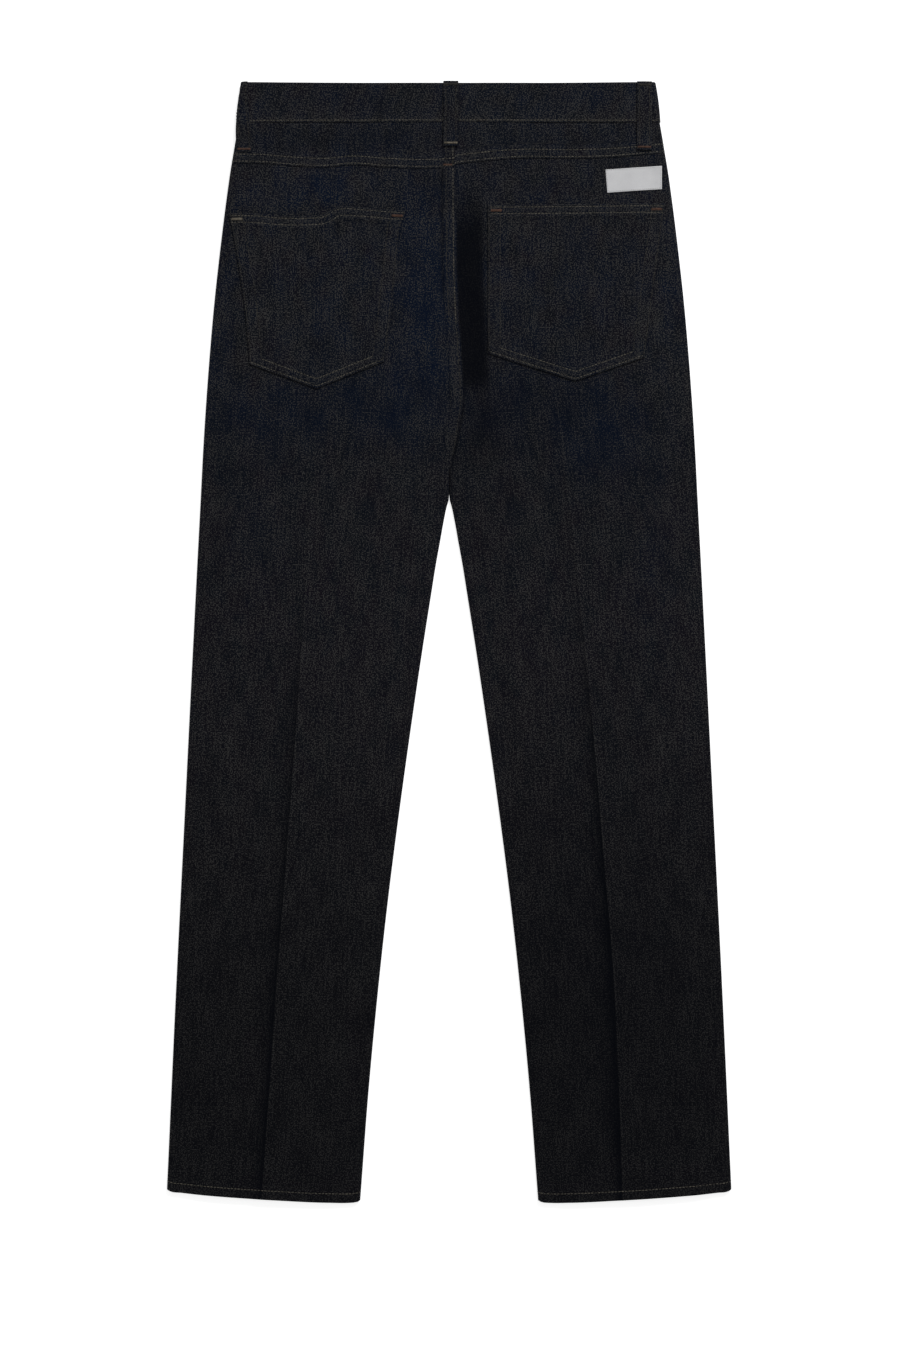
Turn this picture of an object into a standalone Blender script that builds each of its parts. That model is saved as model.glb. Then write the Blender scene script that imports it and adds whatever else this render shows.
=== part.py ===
"""Straight-leg jeans that lie on their front, with the back upwards, in metres.

X runs across the garment to the wearer's right, Y from the hems to the waist, and Z up from the
surface that the garment lies on. Each piece of cloth is a shell: its outer face follows the
flattened garment, and its inner face is one cloth thickness further in.
"""
from math import pi

import bmesh
import bpy
import numpy as np

SEAM_GAP = 0.0003
CLOTH = 0.0012
HEM_CLOTH = 0.0020
HEM_DEPTH = 0.0105
LAP_RAISE = 0.0005
YOKE_LAP = 0.0090
CENTRE_LAP = 0.0105
SIDE_TURN = 0.0080
INSEAM_TURN = 0.080
FORK_Y = 0.1676
FOOT_Y = -0.5488

BAND_CLOTH = 0.0026
BAND_LOW = 0.5086
BAND_HIGH = 0.5478
BAND_FOLD = 0.0031
BAND_LIFT = 0.0018
FRONT_DIP = 0.025
END_OVER = 0.020
END_UNDER = -0.025
END_RISE = 0.0029

LOOP_WIDTH = 0.0147
LOOP_CLOTH = 0.0015
LOOP_BELLY = 0.0008
LOOP_TOP = 0.5488
POCKET_HEM_CLOTH = 0.0018
POCKET_HEM_DEPTH = 0.012
LABEL_CLOTH = 0.0007

SCOOP_FROM = 0.104
SCOOP_DEPTH = 0.072
FACING_FOOT = 0.405
ZIP_HALF_WIDTH = 0.014
ZIP_FOOT = 0.372
ZIP_CLOTH = 0.0007
ZIP_OFF = 0.0029
SLIDER_Y = 0.4715
BUTTON_RADIUS = 0.0085
BUTTON_DEPTH = 0.0024
SHANK_RADIUS = 0.0030
BUTTONHOLE = 0.0180

# Columns: y, half width of the garment.
OUTLINE = (
    (0.5086, 0.2060),
    (0.4920, 0.2089),
    (0.4822, 0.2105),
    (0.4626, 0.2138),
    (0.4332, 0.2180),
    (0.3842, 0.2242),
    (0.3352, 0.2297),
    (0.2862, 0.2341),
    (0.2372, 0.2378),
    (0.1882, 0.2409),
    (0.1392, 0.2434),
    (0.0804, 0.2465),
    (-0.0078, 0.2510),
    (-0.1548, 0.2583),
    (-0.3508, 0.2680),
    (-0.5321, 0.2762),
)
# Columns: y, half distance between the legs.
INSIDE_LEG = (
    (0.1676, 0.00015),
    (0.1450, 0.00040),
    (0.1392, 0.00060),
    (0.1343, 0.0020),
    (0.1196, 0.0051),
    (0.1000, 0.0086),
    (0.0804, 0.0122),
    (0.0412, 0.0185),
    (-0.0078, 0.0262),
    (-0.0568, 0.0335),
    (-0.1548, 0.0473),
    (-0.2528, 0.0599),
    (-0.3508, 0.0706),
    (-0.4488, 0.0797),
    (-0.5321, 0.0860),
)
# Columns: y, radius of the side folds.
FOLDS = (
    (-0.5488, 0.0025),
    (-0.5300, 0.0025),
    (-0.5000, 0.0020),
    (0.3000, 0.0020),
    (0.4200, 0.0023),
    (0.4700, 0.0025),
)
# Columns: y, x of the centre-back seam.
CENTRE_BACK = (
    (0.5086, 0.0072),
    (0.4675, 0.0081),
    (0.3352, 0.0091),
    (0.2862, 0.0116),
    (0.2470, 0.0130),
    (0.2176, 0.0096),
    (0.1931, 0.0052),
    (0.1735, 0.0012),
    (0.1676, 0.0000),
)
# Columns: y, distance of the pressed crease from the middle on the left leg and on the right leg.
CREASE = (
    (0.4500, 0.1150, 0.0850),
    (0.2195, 0.1290, 0.1076),
    (0.1166, 0.1360, 0.1200),
    (0.0147, 0.1428, 0.1309),
    (-0.0882, 0.1506, 0.1419),
    (-0.1980, 0.1597, 0.1527),
    (-0.3067, 0.1680, 0.1635),
    (-0.4537, 0.1780, 0.1690),
    (-0.5263, 0.1825, 0.1697),
)
# Columns: fraction of the leg's width from the side seam, y of the hem's edge.
HEM = (
    (0.00, -0.5361),
    (0.03, -0.5383),
    (0.07, -0.5390),
    (0.17, -0.5410),
    (0.29, -0.5429),
    (0.44, -0.5449),
    (0.61, -0.5468),
    (0.70, -0.5478),
    (0.83, -0.5488),
    (0.95, -0.5485),
    (1.00, -0.5445),
)
# Columns: x, y of the yoke's lower edge.
YOKE_EDGE_LEFT = (
    (-0.2138, 0.4675),
    (-0.1795, 0.4665),
    (-0.1570, 0.4645),
    (-0.1168, 0.4631),
    (-0.0986, 0.4650),
    (-0.0600, 0.4626),
    (-0.0149, 0.4616),
    (0.0081, 0.4631),
)
YOKE_EDGE_RIGHT = (
    (0.0086, 0.4665),
    (0.0465, 0.4699),
    (0.0660, 0.4714),
    (0.1105, 0.4714),
    (0.1556, 0.4724),
    (0.1968, 0.4758),
    (0.2134, 0.4778),
)
# Columns: y, half width of the waistband.
BAND_OUTLINE = (
    (0.5478, 0.2019),
    (0.5390, 0.2035),
    (0.5214, 0.2058),
    (0.5086, 0.2068),
)
# Edge lines in plan of the pieces sewn on the back: x, y from left to right, and from top to foot.
POCKET_LEFT = {
    "top": ((-0.2138, 0.4189), (-0.1501, 0.4145), (-0.1139, 0.4226), (-0.0423, 0.4243)),
    "foot": ((-0.1942, 0.2744), (-0.1296, 0.2504), (-0.0639, 0.2793)),
    "left": ((-0.2138, 0.4189), (-0.2040, 0.3567), (-0.1942, 0.2744)),
    "right": ((-0.0423, 0.4243), (-0.0541, 0.3597), (-0.0575, 0.3224), (-0.0639, 0.2793)),
}
POCKET_RIGHT = {
    "top": ((0.0380, 0.4302), (0.1210, 0.4309), (0.2105, 0.4322)),
    "foot": ((0.0380, 0.2852), (0.1223, 0.2587), (0.1909, 0.2822)),
    "left": ((0.0380, 0.4302), (0.0380, 0.3560), (0.0380, 0.2852)),
    "right": ((0.2105, 0.4322), (0.2010, 0.3572), (0.1909, 0.2822)),
}
LABEL = {
    "top": ((0.1537, 0.4616), (0.2085, 0.4655)),
    "foot": ((0.1556, 0.4400), (0.2085, 0.4439)),
    "left": ((0.1537, 0.4616), (0.1556, 0.4400)),
    "right": ((0.2085, 0.4655), (0.2085, 0.4439)),
}
# Columns: name, x of the middle, y of the lower end.
LOOPS_ON_TOP = (
    ("belt_loop_back_centre", 0.0012, 0.4890),
    ("belt_loop_back_right", 0.1880, 0.4830),
)
LOOPS_BELOW = (
    ("belt_loop_front_left", -0.1080),
    ("belt_loop_front_right", 0.1080),
)
# Columns: colour, roughness, metallic.
DENIM = ((0.0098, 0.0102, 0.0137), 0.92, 0.0)
WHITE_LABEL = ((0.5200, 0.5200, 0.5300), 0.85, 0.0)
ZIP_TAPE = ((0.0150, 0.0160, 0.0220), 0.90, 0.0)
BRASS = ((0.4200, 0.2600, 0.1300), 0.38, 1.0)
COPPER = ((0.3600, 0.1900, 0.1100), 0.35, 1.0)


def smooth(start, end, value):
    """Eases from 0 at start to 1 at end."""
    t = np.clip((value - start) / (end - start), 0.0, 1.0)
    return t * t * (3.0 - 2.0 * t)


def along(table, at, column=1):
    """A smooth curve through one column of a table, straight on past its ends."""
    rows = np.array(sorted(table))
    x, y = rows[:, 0], rows[:, column]
    slope = np.gradient(y, x)
    at = np.asarray(at, dtype=float)
    held = np.clip(at, x[0], x[-1])
    k = np.clip(np.searchsorted(x, held) - 1, 0, len(x) - 2)
    span = x[k + 1] - x[k]
    t = (held - x[k]) / span
    value = (
        (2 * t**3 - 3 * t**2 + 1) * y[k]
        + (t**3 - 2 * t**2 + t) * span * slope[k]
        + (3 * t**2 - 2 * t**3) * y[k + 1]
        + (t**3 - t**2) * span * slope[k + 1]
    )
    return value + (at - held) * np.where(at < held, slope[0], slope[-1])


def fold_radius(y):
    """Radius of the side fold at a height y."""
    rows = np.array(FOLDS)
    return np.interp(y, rows[:, 0], rows[:, 1])


def bump(x, y):
    """Height that the waist button gives the middle of the front."""
    return 0.0012 * np.exp(-0.5 * (x / 0.050) ** 2) * smooth(0.36, 0.46, y)


def lift(x, y):
    """Height of the lower layer's underside: the waistband and loops hold it off the surface."""
    return 0.0024 * smooth(0.33, 0.475, y) + bump(x, y)


def crease_x(side, y):
    """Distance of a leg's pressed crease from the middle."""
    return np.where(np.asarray(side) < 0, along(CREASE, y, 1), along(CREASE, y, 2))


def inset(x, y):
    """Distance in plan from the nearest fold or from the fork."""
    across = np.abs(x)
    inner = np.where(y < FORK_Y, across - along(INSIDE_LEG, y), np.hypot(x, y - FORK_Y))
    return np.minimum(along(OUTLINE, y) - across, inner)


def swell(x, y):
    """Rise of the upper layer over the height that its folds give it."""
    across = np.abs(x)
    seat = smooth(0.15, 0.25, y) * (1.0 - smooth(0.43, 0.50, y))
    middle = (1.0 - smooth(0.045, 0.130, across)) * smooth(0.29, 0.39, y)
    rise = 0.0010 + 0.0010 * seat
    rise = rise + (0.0024 - rise) * middle
    off = x - along(CENTRE_BACK, np.maximum(y, FORK_Y)) - 0.005
    valley = np.where(off > 0, np.exp(-((off / 0.018) ** 2)), np.exp(-((off / 0.034) ** 2)))
    valley = valley * smooth(0.17, 0.27, y) * (1.0 - smooth(0.30, 0.40, y))
    rise = rise * (1.0 - 0.85 * valley)
    ridge = np.exp(-(((across - crease_x(x, y)) / 0.009) ** 2))
    rise = rise + 0.0007 * ridge * (1.0 - smooth(0.15, 0.22, y))
    radius = fold_radius(y)
    return rise * smooth(radius, radius + 0.042, inset(x, y))


def band_half_width(y):
    """Half width of the waistband at a height y."""
    return along(BAND_OUTLINE, y)


def front_waist(x):
    """Height y of the front waist seam, which dips to the middle."""
    return BAND_LOW - FRONT_DIP * (1.0 - smooth(0.0, 0.195, np.abs(x)))


def upper_face(x, y):
    """Height of the upper layer's outer face, away from the folds."""
    return lift(x, y) + 2.0 * fold_radius(y) + swell(x, y)


def band_upper_face(x, y):
    """Height of the waistband's outer face on top."""
    return BAND_LIFT + bump(x, y) + 2.0 * BAND_FOLD + swell(x, np.minimum(y, BAND_LOW))


def skin(x, y, off, layer, toward_x, toward_y, thick, raised=0.0):
    """Outer and inner face points of a layer.

    off is the distance in plan from the fold, layer +1 the upper and -1 the lower one, and
    toward_x and toward_y the plan direction away from the fold.
    """
    radius = fold_radius(y)
    flat = np.clip((radius - off) / radius, 0.0, 1.0)
    steep = np.sqrt(1.0 - flat**2)
    middle = lift(x, y) + radius
    z = middle + layer * radius * steep + np.where(layer > 0, swell(x, y), 0.0)
    outer = np.stack([x, y, z + raised], axis=-1)
    in_x, in_y = x + toward_x * thick * flat, y + toward_y * thick * flat
    return outer, np.stack([in_x, in_y, z - layer * thick * steep], axis=-1)


def wrap(turn, radius):
    """Distance from the fold and layer at a place round it.

    turn is 1 at the fold's upper tangent, 0 at mid height, -1 at its lower tangent, and one less
    for each SIDE_TURN of the flat underside past it.
    """
    arc = np.clip(turn, -1.0, 1.0)
    off = radius * (1.0 - np.cos(0.5 * pi * arc)) + SIDE_TURN * np.maximum(-turn - 1.0, 0.0)
    return off, np.where(turn >= 0.0, 1.0, -1.0)


SIDE_TURNS = (-2.0, -1.0, -0.6, -0.2, 0.2, 0.6, 1.0)
INSEAM_TURNS = (1.0, 0.6, 0.2, -0.2, -0.6, -1.0, -2.0)
FORK_TURNS = (1.0, 0.83, 0.67, 0.50, 0.33, 0.17, 0.0)
CENTRE_STEPS = (0.044, 0.032, 0.0210, 0.0118, 0.0105, 0.0050, 0.0)
FRONT_INSEAM_TURNS = (-5.0, -4.4, -3.8, -3.2, -2.6, -2.0)
FRONT_FORK_TURNS = (-1.6, -1.0, -0.7, -0.45, -0.2, 0.0)
FRONT_STEPS = (0.030, 0.022, 0.015, 0.009, 0.004, 0.0)
EDGE_STEPS = (0.007, 0.015, 0.024, 0.034)
ACROSS = (0.10, 0.22, 0.36)
CREASE_STEPS = (-0.010, 0.0, 0.010)


def fork_share(y):
    """0 at the fork, 1 where the inside-leg seam has turned fully under the leg."""
    return smooth(0.0, INSEAM_TURN, FORK_Y - y)


def inner_column(side, y, k, upper):
    """One column next to the centre seam and the inside-leg seam: across, off, layer, direction."""
    turns = INSEAM_TURNS if upper else FRONT_INSEAM_TURNS
    fork = FORK_TURNS if upper else FRONT_FORK_TURNS
    steps = CENTRE_STEPS if upper else FRONT_STEPS
    radius = fold_radius(y)
    share = fork_share(y)
    last = k == len(turns) - 1
    half_gap = 0.5 * SEAM_GAP
    turn = fork[k] + (turns[k] - fork[k]) * share
    if last:
        turn = turn + (half_gap if upper else -half_gap) / np.where(turn < -1.0, SIDE_TURN, 0.5 * pi * radius)
    off_leg, layer_leg = wrap(turn, radius)
    across_leg = along(INSIDE_LEG, y) + off_leg
    step, _ = wrap(np.full_like(y, fork[k]), radius)
    step = step + (steps[k] - step) * smooth(0.0, 0.060, y - FORK_Y)
    middle = along(CENTRE_BACK, np.maximum(y, FORK_Y)) if upper else np.zeros_like(y)
    across_body = side * middle + half_gap + step
    off_body = np.hypot(across_body, y - FORK_Y)
    leg = y < FORK_Y
    across = np.where(leg, across_leg, across_body)
    off = np.where(leg, off_leg, off_body)
    layer = np.where(leg, layer_leg, 1.0 if upper else -1.0)
    reach = np.maximum(off_body, 1e-6)
    toward_across = np.where(leg, 1.0, across_body / reach)
    toward_y = np.where(leg, 0.0, (y - FORK_Y) / reach)
    return across, off, layer, toward_across, toward_y


def outer_column(y, turn):
    """One column round the side fold."""
    off, layer = wrap(np.full_like(y, turn), fold_radius(y))
    return along(OUTLINE, y) - off, off, layer, np.full_like(y, -1.0), np.zeros_like(y)


def middle_column(start, end, share, y, layer):
    """One column between two others, on the flat of a layer."""
    far = np.full_like(y, 1.0)
    return start + (end - start) * share, far, layer * far, np.zeros_like(y), np.zeros_like(y)


def columns(side, nominal, y_at, upper):
    """Every column of a panel from the side seam to the inner seams, each row at its own y.

    nominal holds the rows' heights, and y_at moves them for a column's distance from the middle.
    """
    done = []

    def settle(make):
        y = y_at(make(nominal)[0])
        y = y_at(make(y)[0])
        done.append((make(y), y))

    if upper:
        for turn in SIDE_TURNS:
            settle(lambda y, turn=turn: outer_column(y, turn))
        outer_end = lambda y: along(OUTLINE, y) - fold_radius(y)
    else:
        settle(lambda y: outer_column(y, -2.0 - SEAM_GAP / SIDE_TURN))
        outer_end = lambda y: along(OUTLINE, y) - fold_radius(y) - SIDE_TURN - SEAM_GAP
    layer = 1.0 if upper else -1.0
    inner_end = lambda y: inner_column(side, y, 0, upper)[0]
    fold = lambda y: crease_x(side, y)
    for step in EDGE_STEPS if upper else ():
        settle(lambda y, s=step: middle_column(outer_end(y) - s, fold(y), 0.0, y, layer))
    for share in (0.35,) if upper else (0.15, 0.40):
        settle(lambda y, s=share: middle_column(outer_end(y), fold(y), s / 0.5, y, layer))
    for step in CREASE_STEPS if upper else (0.0,):
        settle(lambda y, s=step: middle_column(fold(y) - s, fold(y), 0.0, y, layer))
    for share in tuple(reversed(ACROSS)) if upper else (0.40, 0.15):
        settle(lambda y, s=share: middle_column(inner_end(y), fold(y), s / 0.5, y, layer))
    for k in range(len(INSEAM_TURNS if upper else FRONT_INSEAM_TURNS)):
        settle(lambda y, k=k: inner_column(side, y, k, upper))
    return done


def lay_panel(side, rows, upper, thick, raised=None):
    """Outer and inner face grids of a panel; rows holds its nominal heights and what moves them."""
    outer, inner = [], []
    for (across, off, layer, toward_across, toward_y), y in columns(side, *rows, upper):
        x = side * across
        up = np.zeros_like(y) if raised is None else raised(x, y)
        up = np.where(layer > 0, up, 0.0)
        a, b = skin(x, y, off, layer, side * toward_across, toward_y, thick, up)
        outer.append(a)
        inner.append(b)
    return np.stack(outer, axis=1), np.stack(inner, axis=1)


def shell(name, outer, inner, look, collection):
    """A closed solid between two grids of points."""
    rows, cols = outer.shape[:2]
    count = rows * cols
    points = np.concatenate([outer.reshape(-1, 3), inner.reshape(-1, 3)])
    at = np.arange(count).reshape(rows, cols)
    faces = []
    for i in range(rows - 1):
        for j in range(cols - 1):
            a, b, c, d = at[i, j], at[i, j + 1], at[i + 1, j + 1], at[i + 1, j]
            faces.append((a, b, c, d))
            faces.append((d + count, c + count, b + count, a + count))
    rim = list(at[0, :]) + list(at[1:, -1]) + list(at[-1, -2::-1]) + list(at[-2:0:-1, 0])
    for a, b in zip(rim, rim[1:] + rim[:1]):
        faces.append((b, a, a + count, b + count))
    return solid(name, points, faces, look, collection)


def solid(name, points, faces, look, collection):
    """An object from points and faces, its faces turned outwards."""
    mesh = bpy.data.meshes.new(name)
    body = bmesh.new()
    corners = [body.verts.new(p) for p in points]
    for face in faces:
        body.faces.new([corners[i] for i in face])
    bmesh.ops.recalc_face_normals(body, faces=body.faces[:])
    body.to_mesh(mesh)
    body.free()
    made = bpy.data.objects.new(name, mesh)
    collection.objects.link(made)
    if look is not None:
        mesh.materials.append(finish(name, look))
    return made


def finish(name, look):
    """A material for one piece."""
    colour, roughness, metallic = look
    material = bpy.data.materials.new(name)
    material.use_nodes = True
    shader = material.node_tree.nodes["Principled BSDF"]
    shader.inputs["Base Color"].default_value = (*colour, 1.0)
    shader.inputs["Roughness"].default_value = roughness
    shader.inputs["Metallic"].default_value = metallic
    material.diffuse_color = (*colour, 1.0)
    return material


def prism(name, outline, low, high, look, collection):
    """A straight solid over a plan outline."""
    count = len(outline)
    points = [(x, y, low) for x, y in outline] + [(x, y, high) for x, y in outline]
    faces = [tuple(range(count))[::-1], tuple(range(count, 2 * count))]
    for i in range(count):
        j = (i + 1) % count
        faces.append((i, j, j + count, i + count))
    return solid(name, points, faces, look, collection)


def ellipse(x, y, half_x, half_y, count=32):
    """Points round an ellipse."""
    turn = np.arange(count) * 2.0 * pi / count
    return [(x + half_x * np.cos(t), y + half_y * np.sin(t)) for t in turn]


def stadium(x, y, half_length, radius, count=8):
    """Points round a slot with round ends, along X."""
    points = []
    for middle, start in ((x + half_length - radius, -0.5 * pi), (x - half_length + radius, 0.5 * pi)):
        for t in np.linspace(start, start + pi, count):
            points.append((middle + radius * np.cos(t), y + radius * np.sin(t)))
    return points


def combine(target, tool, operation):
    """Applies one solid to another with a boolean modifier."""
    modifier = target.modifiers.new(tool.name, "BOOLEAN")
    modifier.operation = operation
    modifier.solver = "EXACT"
    modifier.object = tool
    tool.hide_render = True
    tool.display_type = "WIRE"


def hem_line(share):
    """Height y of the hem's edge across a leg."""
    rows = np.array(HEM)
    return np.interp(share, rows[:, 0], rows[:, 1])


def leg_rows(top_rows, top_of, top_ease):
    """Row heights of a leg panel, from the hem to the line top_of above, and what moves them."""
    hem_rows = (0.0, 0.0093, 0.0118, 0.030)
    leg = (-0.470, -0.400, -0.330, -0.260, -0.190, -0.120, -0.050, 0.005, 0.040)
    fork = (-0.100, -0.075, -0.055, -0.042, -0.0335, -0.0290, -0.016, -0.005, 0.0, 0.0008, 0.0020, 0.0040,
            0.010, 0.022, 0.045)
    nominal = np.array([FOOT_Y + r for r in hem_rows] + [y for y in leg if y < FORK_Y - 0.11]
                       + [FORK_Y + r for r in fork] + list(top_rows))

    def y_at(across):
        width = along(OUTLINE, nominal) - along(INSIDE_LEG, np.minimum(nominal, FORK_Y))
        share = np.clip((along(OUTLINE, nominal) - across) / width, 0.0, 1.0)
        hem = (hem_line(share) - FOOT_Y) * (1.0 - smooth(FOOT_Y + 0.030, -0.40, nominal))
        top = (top_of(across) - nominal[-1]) * smooth(top_ease, nominal[-1], nominal)
        return nominal + hem + top

    return nominal, y_at


def leg_cloth(rows):
    """Cloth thickness down a leg panel, thicker over the turned-up hem."""
    return np.where(rows[0] < FOOT_Y + HEM_DEPTH, HEM_CLOTH, CLOTH)


def yoke_edge(side, x):
    """Height y of the yoke's lower edge."""
    rows = np.array(YOKE_EDGE_LEFT if side < 0 else YOKE_EDGE_RIGHT)
    return np.interp(x, rows[:, 0], rows[:, 1])


def centre_lap(x, y):
    """Rise of the left back's turned edge over the right back at the centre seam."""
    into = along(CENTRE_BACK, np.maximum(y, FORK_Y)) - x
    return LAP_RAISE * (into < CENTRE_LAP + 0.0006) * smooth(FORK_Y + 0.015, FORK_Y + 0.050, y)


def build_back(side, collection):
    """One back leg panel."""
    rows = leg_rows(
        (0.235, 0.257, 0.278, 0.298, 0.318, 0.338, 0.358, 0.378, 0.400, 0.430, 0.4626),
        lambda across: yoke_edge(side, side * across) - 0.5 * SEAM_GAP,
        0.38,
    )
    raised = centre_lap if side < 0 else None
    outer, inner = lay_panel(side, rows, True, leg_cloth(rows), raised)
    name = "back_left" if side < 0 else "back_right"
    return shell(name, outer, inner, DENIM, collection)


def build_front(side, collection, cutters):
    """One front leg panel, with the scoop cut for its pocket."""
    rows = leg_rows(
        (0.245, 0.290, 0.335, 0.375, 0.410, 0.445, BAND_LOW),
        lambda across: front_waist(across) - 0.5 * SEAM_GAP,
        0.36,
    )
    outer, inner = lay_panel(side, rows, False, leg_cloth(rows))
    name = "front_left" if side < 0 else "front_right"
    panel = shell(name, outer, inner, DENIM, collection)
    corner = 0.2060
    scoop = prism(
        name + "_scoop",
        ellipse(side * corner, front_waist(SCOOP_FROM), corner - SCOOP_FROM, SCOOP_DEPTH, 48),
        -0.002,
        0.012,
        None,
        cutters,
    )
    combine(panel, scoop, "DIFFERENCE")
    return panel


def build_facing(side, collection):
    """The cloth behind the scoop of a front pocket."""
    share = np.linspace(0.0, 1.0, 7)
    levels = np.array([0.0, 0.25, 0.5, 0.75, 1.0])
    outer, inner = [], []
    for level in levels:
        y = np.full_like(share, FACING_FOOT) * (1.0 - level)
        wide = 0.2060 - 0.0055
        across = SCOOP_FROM - 0.014 + (wide - SCOOP_FROM + 0.014) * share
        y = y + (front_waist(across) - SEAM_GAP) * level
        x = side * across
        low = lift(x, y) + CLOTH + SEAM_GAP
        outer.append(np.stack([x, y, low], axis=-1))
        inner.append(np.stack([x, y, low + CLOTH], axis=-1))
    name = "pocket_facing_left" if side < 0 else "pocket_facing_right"
    return shell(name, np.stack(outer), np.stack(inner), DENIM, collection)


def build_yoke(side, collection):
    """One back yoke, lapped over the leg panel below it."""
    steps = np.array((0.0, YOKE_LAP, YOKE_LAP + 0.0010, 0.025, 0.0))

    def y_at(across):
        y = yoke_edge(side, side * across) + 0.5 * SEAM_GAP + steps
        y[-1] = BAND_LOW - 0.5 * SEAM_GAP
        return y

    def raised(x, y):
        low = yoke_edge(side, x) + 0.5 * SEAM_GAP
        lap = LAP_RAISE * (y - low < YOKE_LAP + 0.0005)
        return np.maximum(lap, centre_lap(x, y)) if side < 0 else lap

    outer, inner = lay_panel(side, (0.4700 + steps, y_at), True, CLOTH, raised)
    name = "yoke_left" if side < 0 else "yoke_right"
    return shell(name, outer, inner, DENIM, collection)


def band_path():
    """Columns of the waistband from its outer front end round to its inner one.

    Each is x as a share of the half width or in metres, the place round the fold, and the rise.
    """
    path = []
    for x in (END_OVER, 0.008, -0.008, -0.030, -0.060, -0.100, -0.145, -0.180):
        path.append(("below", x, 0.0))
    for turn in (-1.0, -0.67, -0.33, 0.0, 0.33, 0.67, 1.0):
        path.append(("left", turn, 0.0))
    half = (0.185, 0.155, 0.120, 0.085, 0.055, 0.030, 0.010)
    for x in [-x for x in half] + list(half[::-1]):
        path.append(("above", x, 0.0))
    for turn in (1.0, 0.67, 0.33, 0.0, -0.33, -0.67, -1.0):
        path.append(("right", turn, 0.0))
    for x in (0.180, 0.145, 0.100, 0.070, 0.058, 0.048, 0.040, 0.032, 0.024, 0.008, -0.008, END_UNDER):
        path.append(("below", x, END_RISE * (1.0 - smooth(0.024, 0.058, x))))
    return path


def build_band(collection, cutters):
    """The waistband, one strip with its ends lapped over each other at the front."""
    levels = np.array([0.0, 0.33, 0.75, 0.93, 1.0])
    depth = BAND_HIGH - BAND_LOW - 0.5 * SEAM_GAP
    y_back = BAND_LOW + 0.5 * SEAM_GAP + depth * levels
    outer, inner = [], []
    for place, value, rise in band_path():
        if place == "below":
            x = np.full_like(y_back, value)
            y = y_back - BAND_LOW + front_waist(x)
            z = BAND_LIFT + bump(x, y) + rise
            normal_x, normal_z = 0.0, -1.0
        elif place == "above":
            x, y = np.full_like(y_back, value), y_back
            z = band_upper_face(x, y)
            normal_x, normal_z = 0.0, 1.0
        else:
            side = -1.0 if place == "left" else 1.0
            y = y_back
            angle = 0.5 * pi * value
            x = side * (band_half_width(y) - BAND_FOLD * (1.0 - np.cos(angle)))
            z = BAND_LIFT + BAND_FOLD + BAND_FOLD * np.sin(angle) + bump(x, y)
            normal_x, normal_z = side * np.cos(angle), np.sin(angle)
        outer.append(np.stack([x, y, z], axis=-1))
        inner.append(np.stack([x - normal_x * BAND_CLOTH, y, z - normal_z * BAND_CLOTH], axis=-1))
    band = shell("waistband", np.stack(outer, axis=1), np.stack(inner, axis=1), DENIM, collection)
    hole = prism(
        "waistband_buttonhole",
        stadium(0.0, button_y(), 0.5 * BUTTONHOLE, SHANK_RADIUS + 0.0006),
        BAND_LIFT - 0.001,
        BAND_LIFT + 0.0012 + 0.5 * (BAND_CLOTH + END_RISE),
        None,
        cutters,
    )
    combine(band, hole, "DIFFERENCE")
    return band


def button_y():
    """Height y of the waist button, halfway up the band at the middle of the front."""
    return float(front_waist(0.0)) + 0.5 * (BAND_HIGH - BAND_LOW)


def build_button(collection):
    """The waist button: a flat cap with a shank through the buttonhole."""
    under = BAND_LIFT + 0.0012
    levels = (
        (under - SEAM_GAP - BUTTON_DEPTH, 0.72 * BUTTON_RADIUS),
        (under - SEAM_GAP - 0.80 * BUTTON_DEPTH, 0.92 * BUTTON_RADIUS),
        (under - SEAM_GAP - 0.45 * BUTTON_DEPTH, BUTTON_RADIUS),
        (under - SEAM_GAP, BUTTON_RADIUS),
        (under - SEAM_GAP, SHANK_RADIUS),
        (under + END_RISE - SEAM_GAP, SHANK_RADIUS),
    )
    count = 24
    points, faces = [], []
    for z, radius in levels:
        points += [(x, y, z) for x, y in ellipse(0.0, button_y(), radius, radius, count)]
    for level in range(len(levels) - 1):
        for i in range(count):
            j = (i + 1) % count
            a, b = level * count, (level + 1) * count
            faces.append((a + i, a + j, b + j, b + i))
    faces.append(tuple(range(count))[::-1])
    faces.append(tuple(range(count * (len(levels) - 1), count * len(levels))))
    return solid("button", points, faces, COPPER, collection)


def patch_grid(edges, columns_at, rows_at):
    """Plan points of a patch between four edge lines, row by row from its top."""

    def on(line, share):
        points = np.array(line)
        reach = np.concatenate([[0.0], np.cumsum(np.hypot(*np.diff(points, axis=0).T))])
        return np.stack([np.interp(share, reach / reach[-1], points[:, k]) for k in (0, 1)], axis=-1)

    u = np.asarray(columns_at)[None, :, None]
    v = np.asarray(rows_at)[:, None, None]
    top, foot = on(edges["top"], columns_at)[None], on(edges["foot"], columns_at)[None]
    left, right = on(edges["left"], rows_at)[:, None], on(edges["right"], rows_at)[:, None]
    corners = (
        (1 - u) * (1 - v) * np.array(edges["top"][0])
        + u * (1 - v) * np.array(edges["top"][-1])
        + (1 - u) * v * np.array(edges["foot"][0])
        + u * v * np.array(edges["foot"][-1])
    )
    return (1 - v) * top + v * foot + (1 - u) * left + u * right - corners


def build_patch(name, edges, columns_at, rows_at, thick, look, collection):
    """A flat piece sewn on the back, laid on the panel's own surface."""
    plan = patch_grid(edges, columns_at, rows_at)
    x, y = plan[..., 0], plan[..., 1]
    low = upper_face(x, y) + SEAM_GAP
    height = np.broadcast_to(np.asarray(thick)[:, None], x.shape)
    upper = np.stack([x, y, low + height], axis=-1)
    lower = np.stack([x, y, low], axis=-1)
    return shell(name, upper, lower, look, collection)


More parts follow.
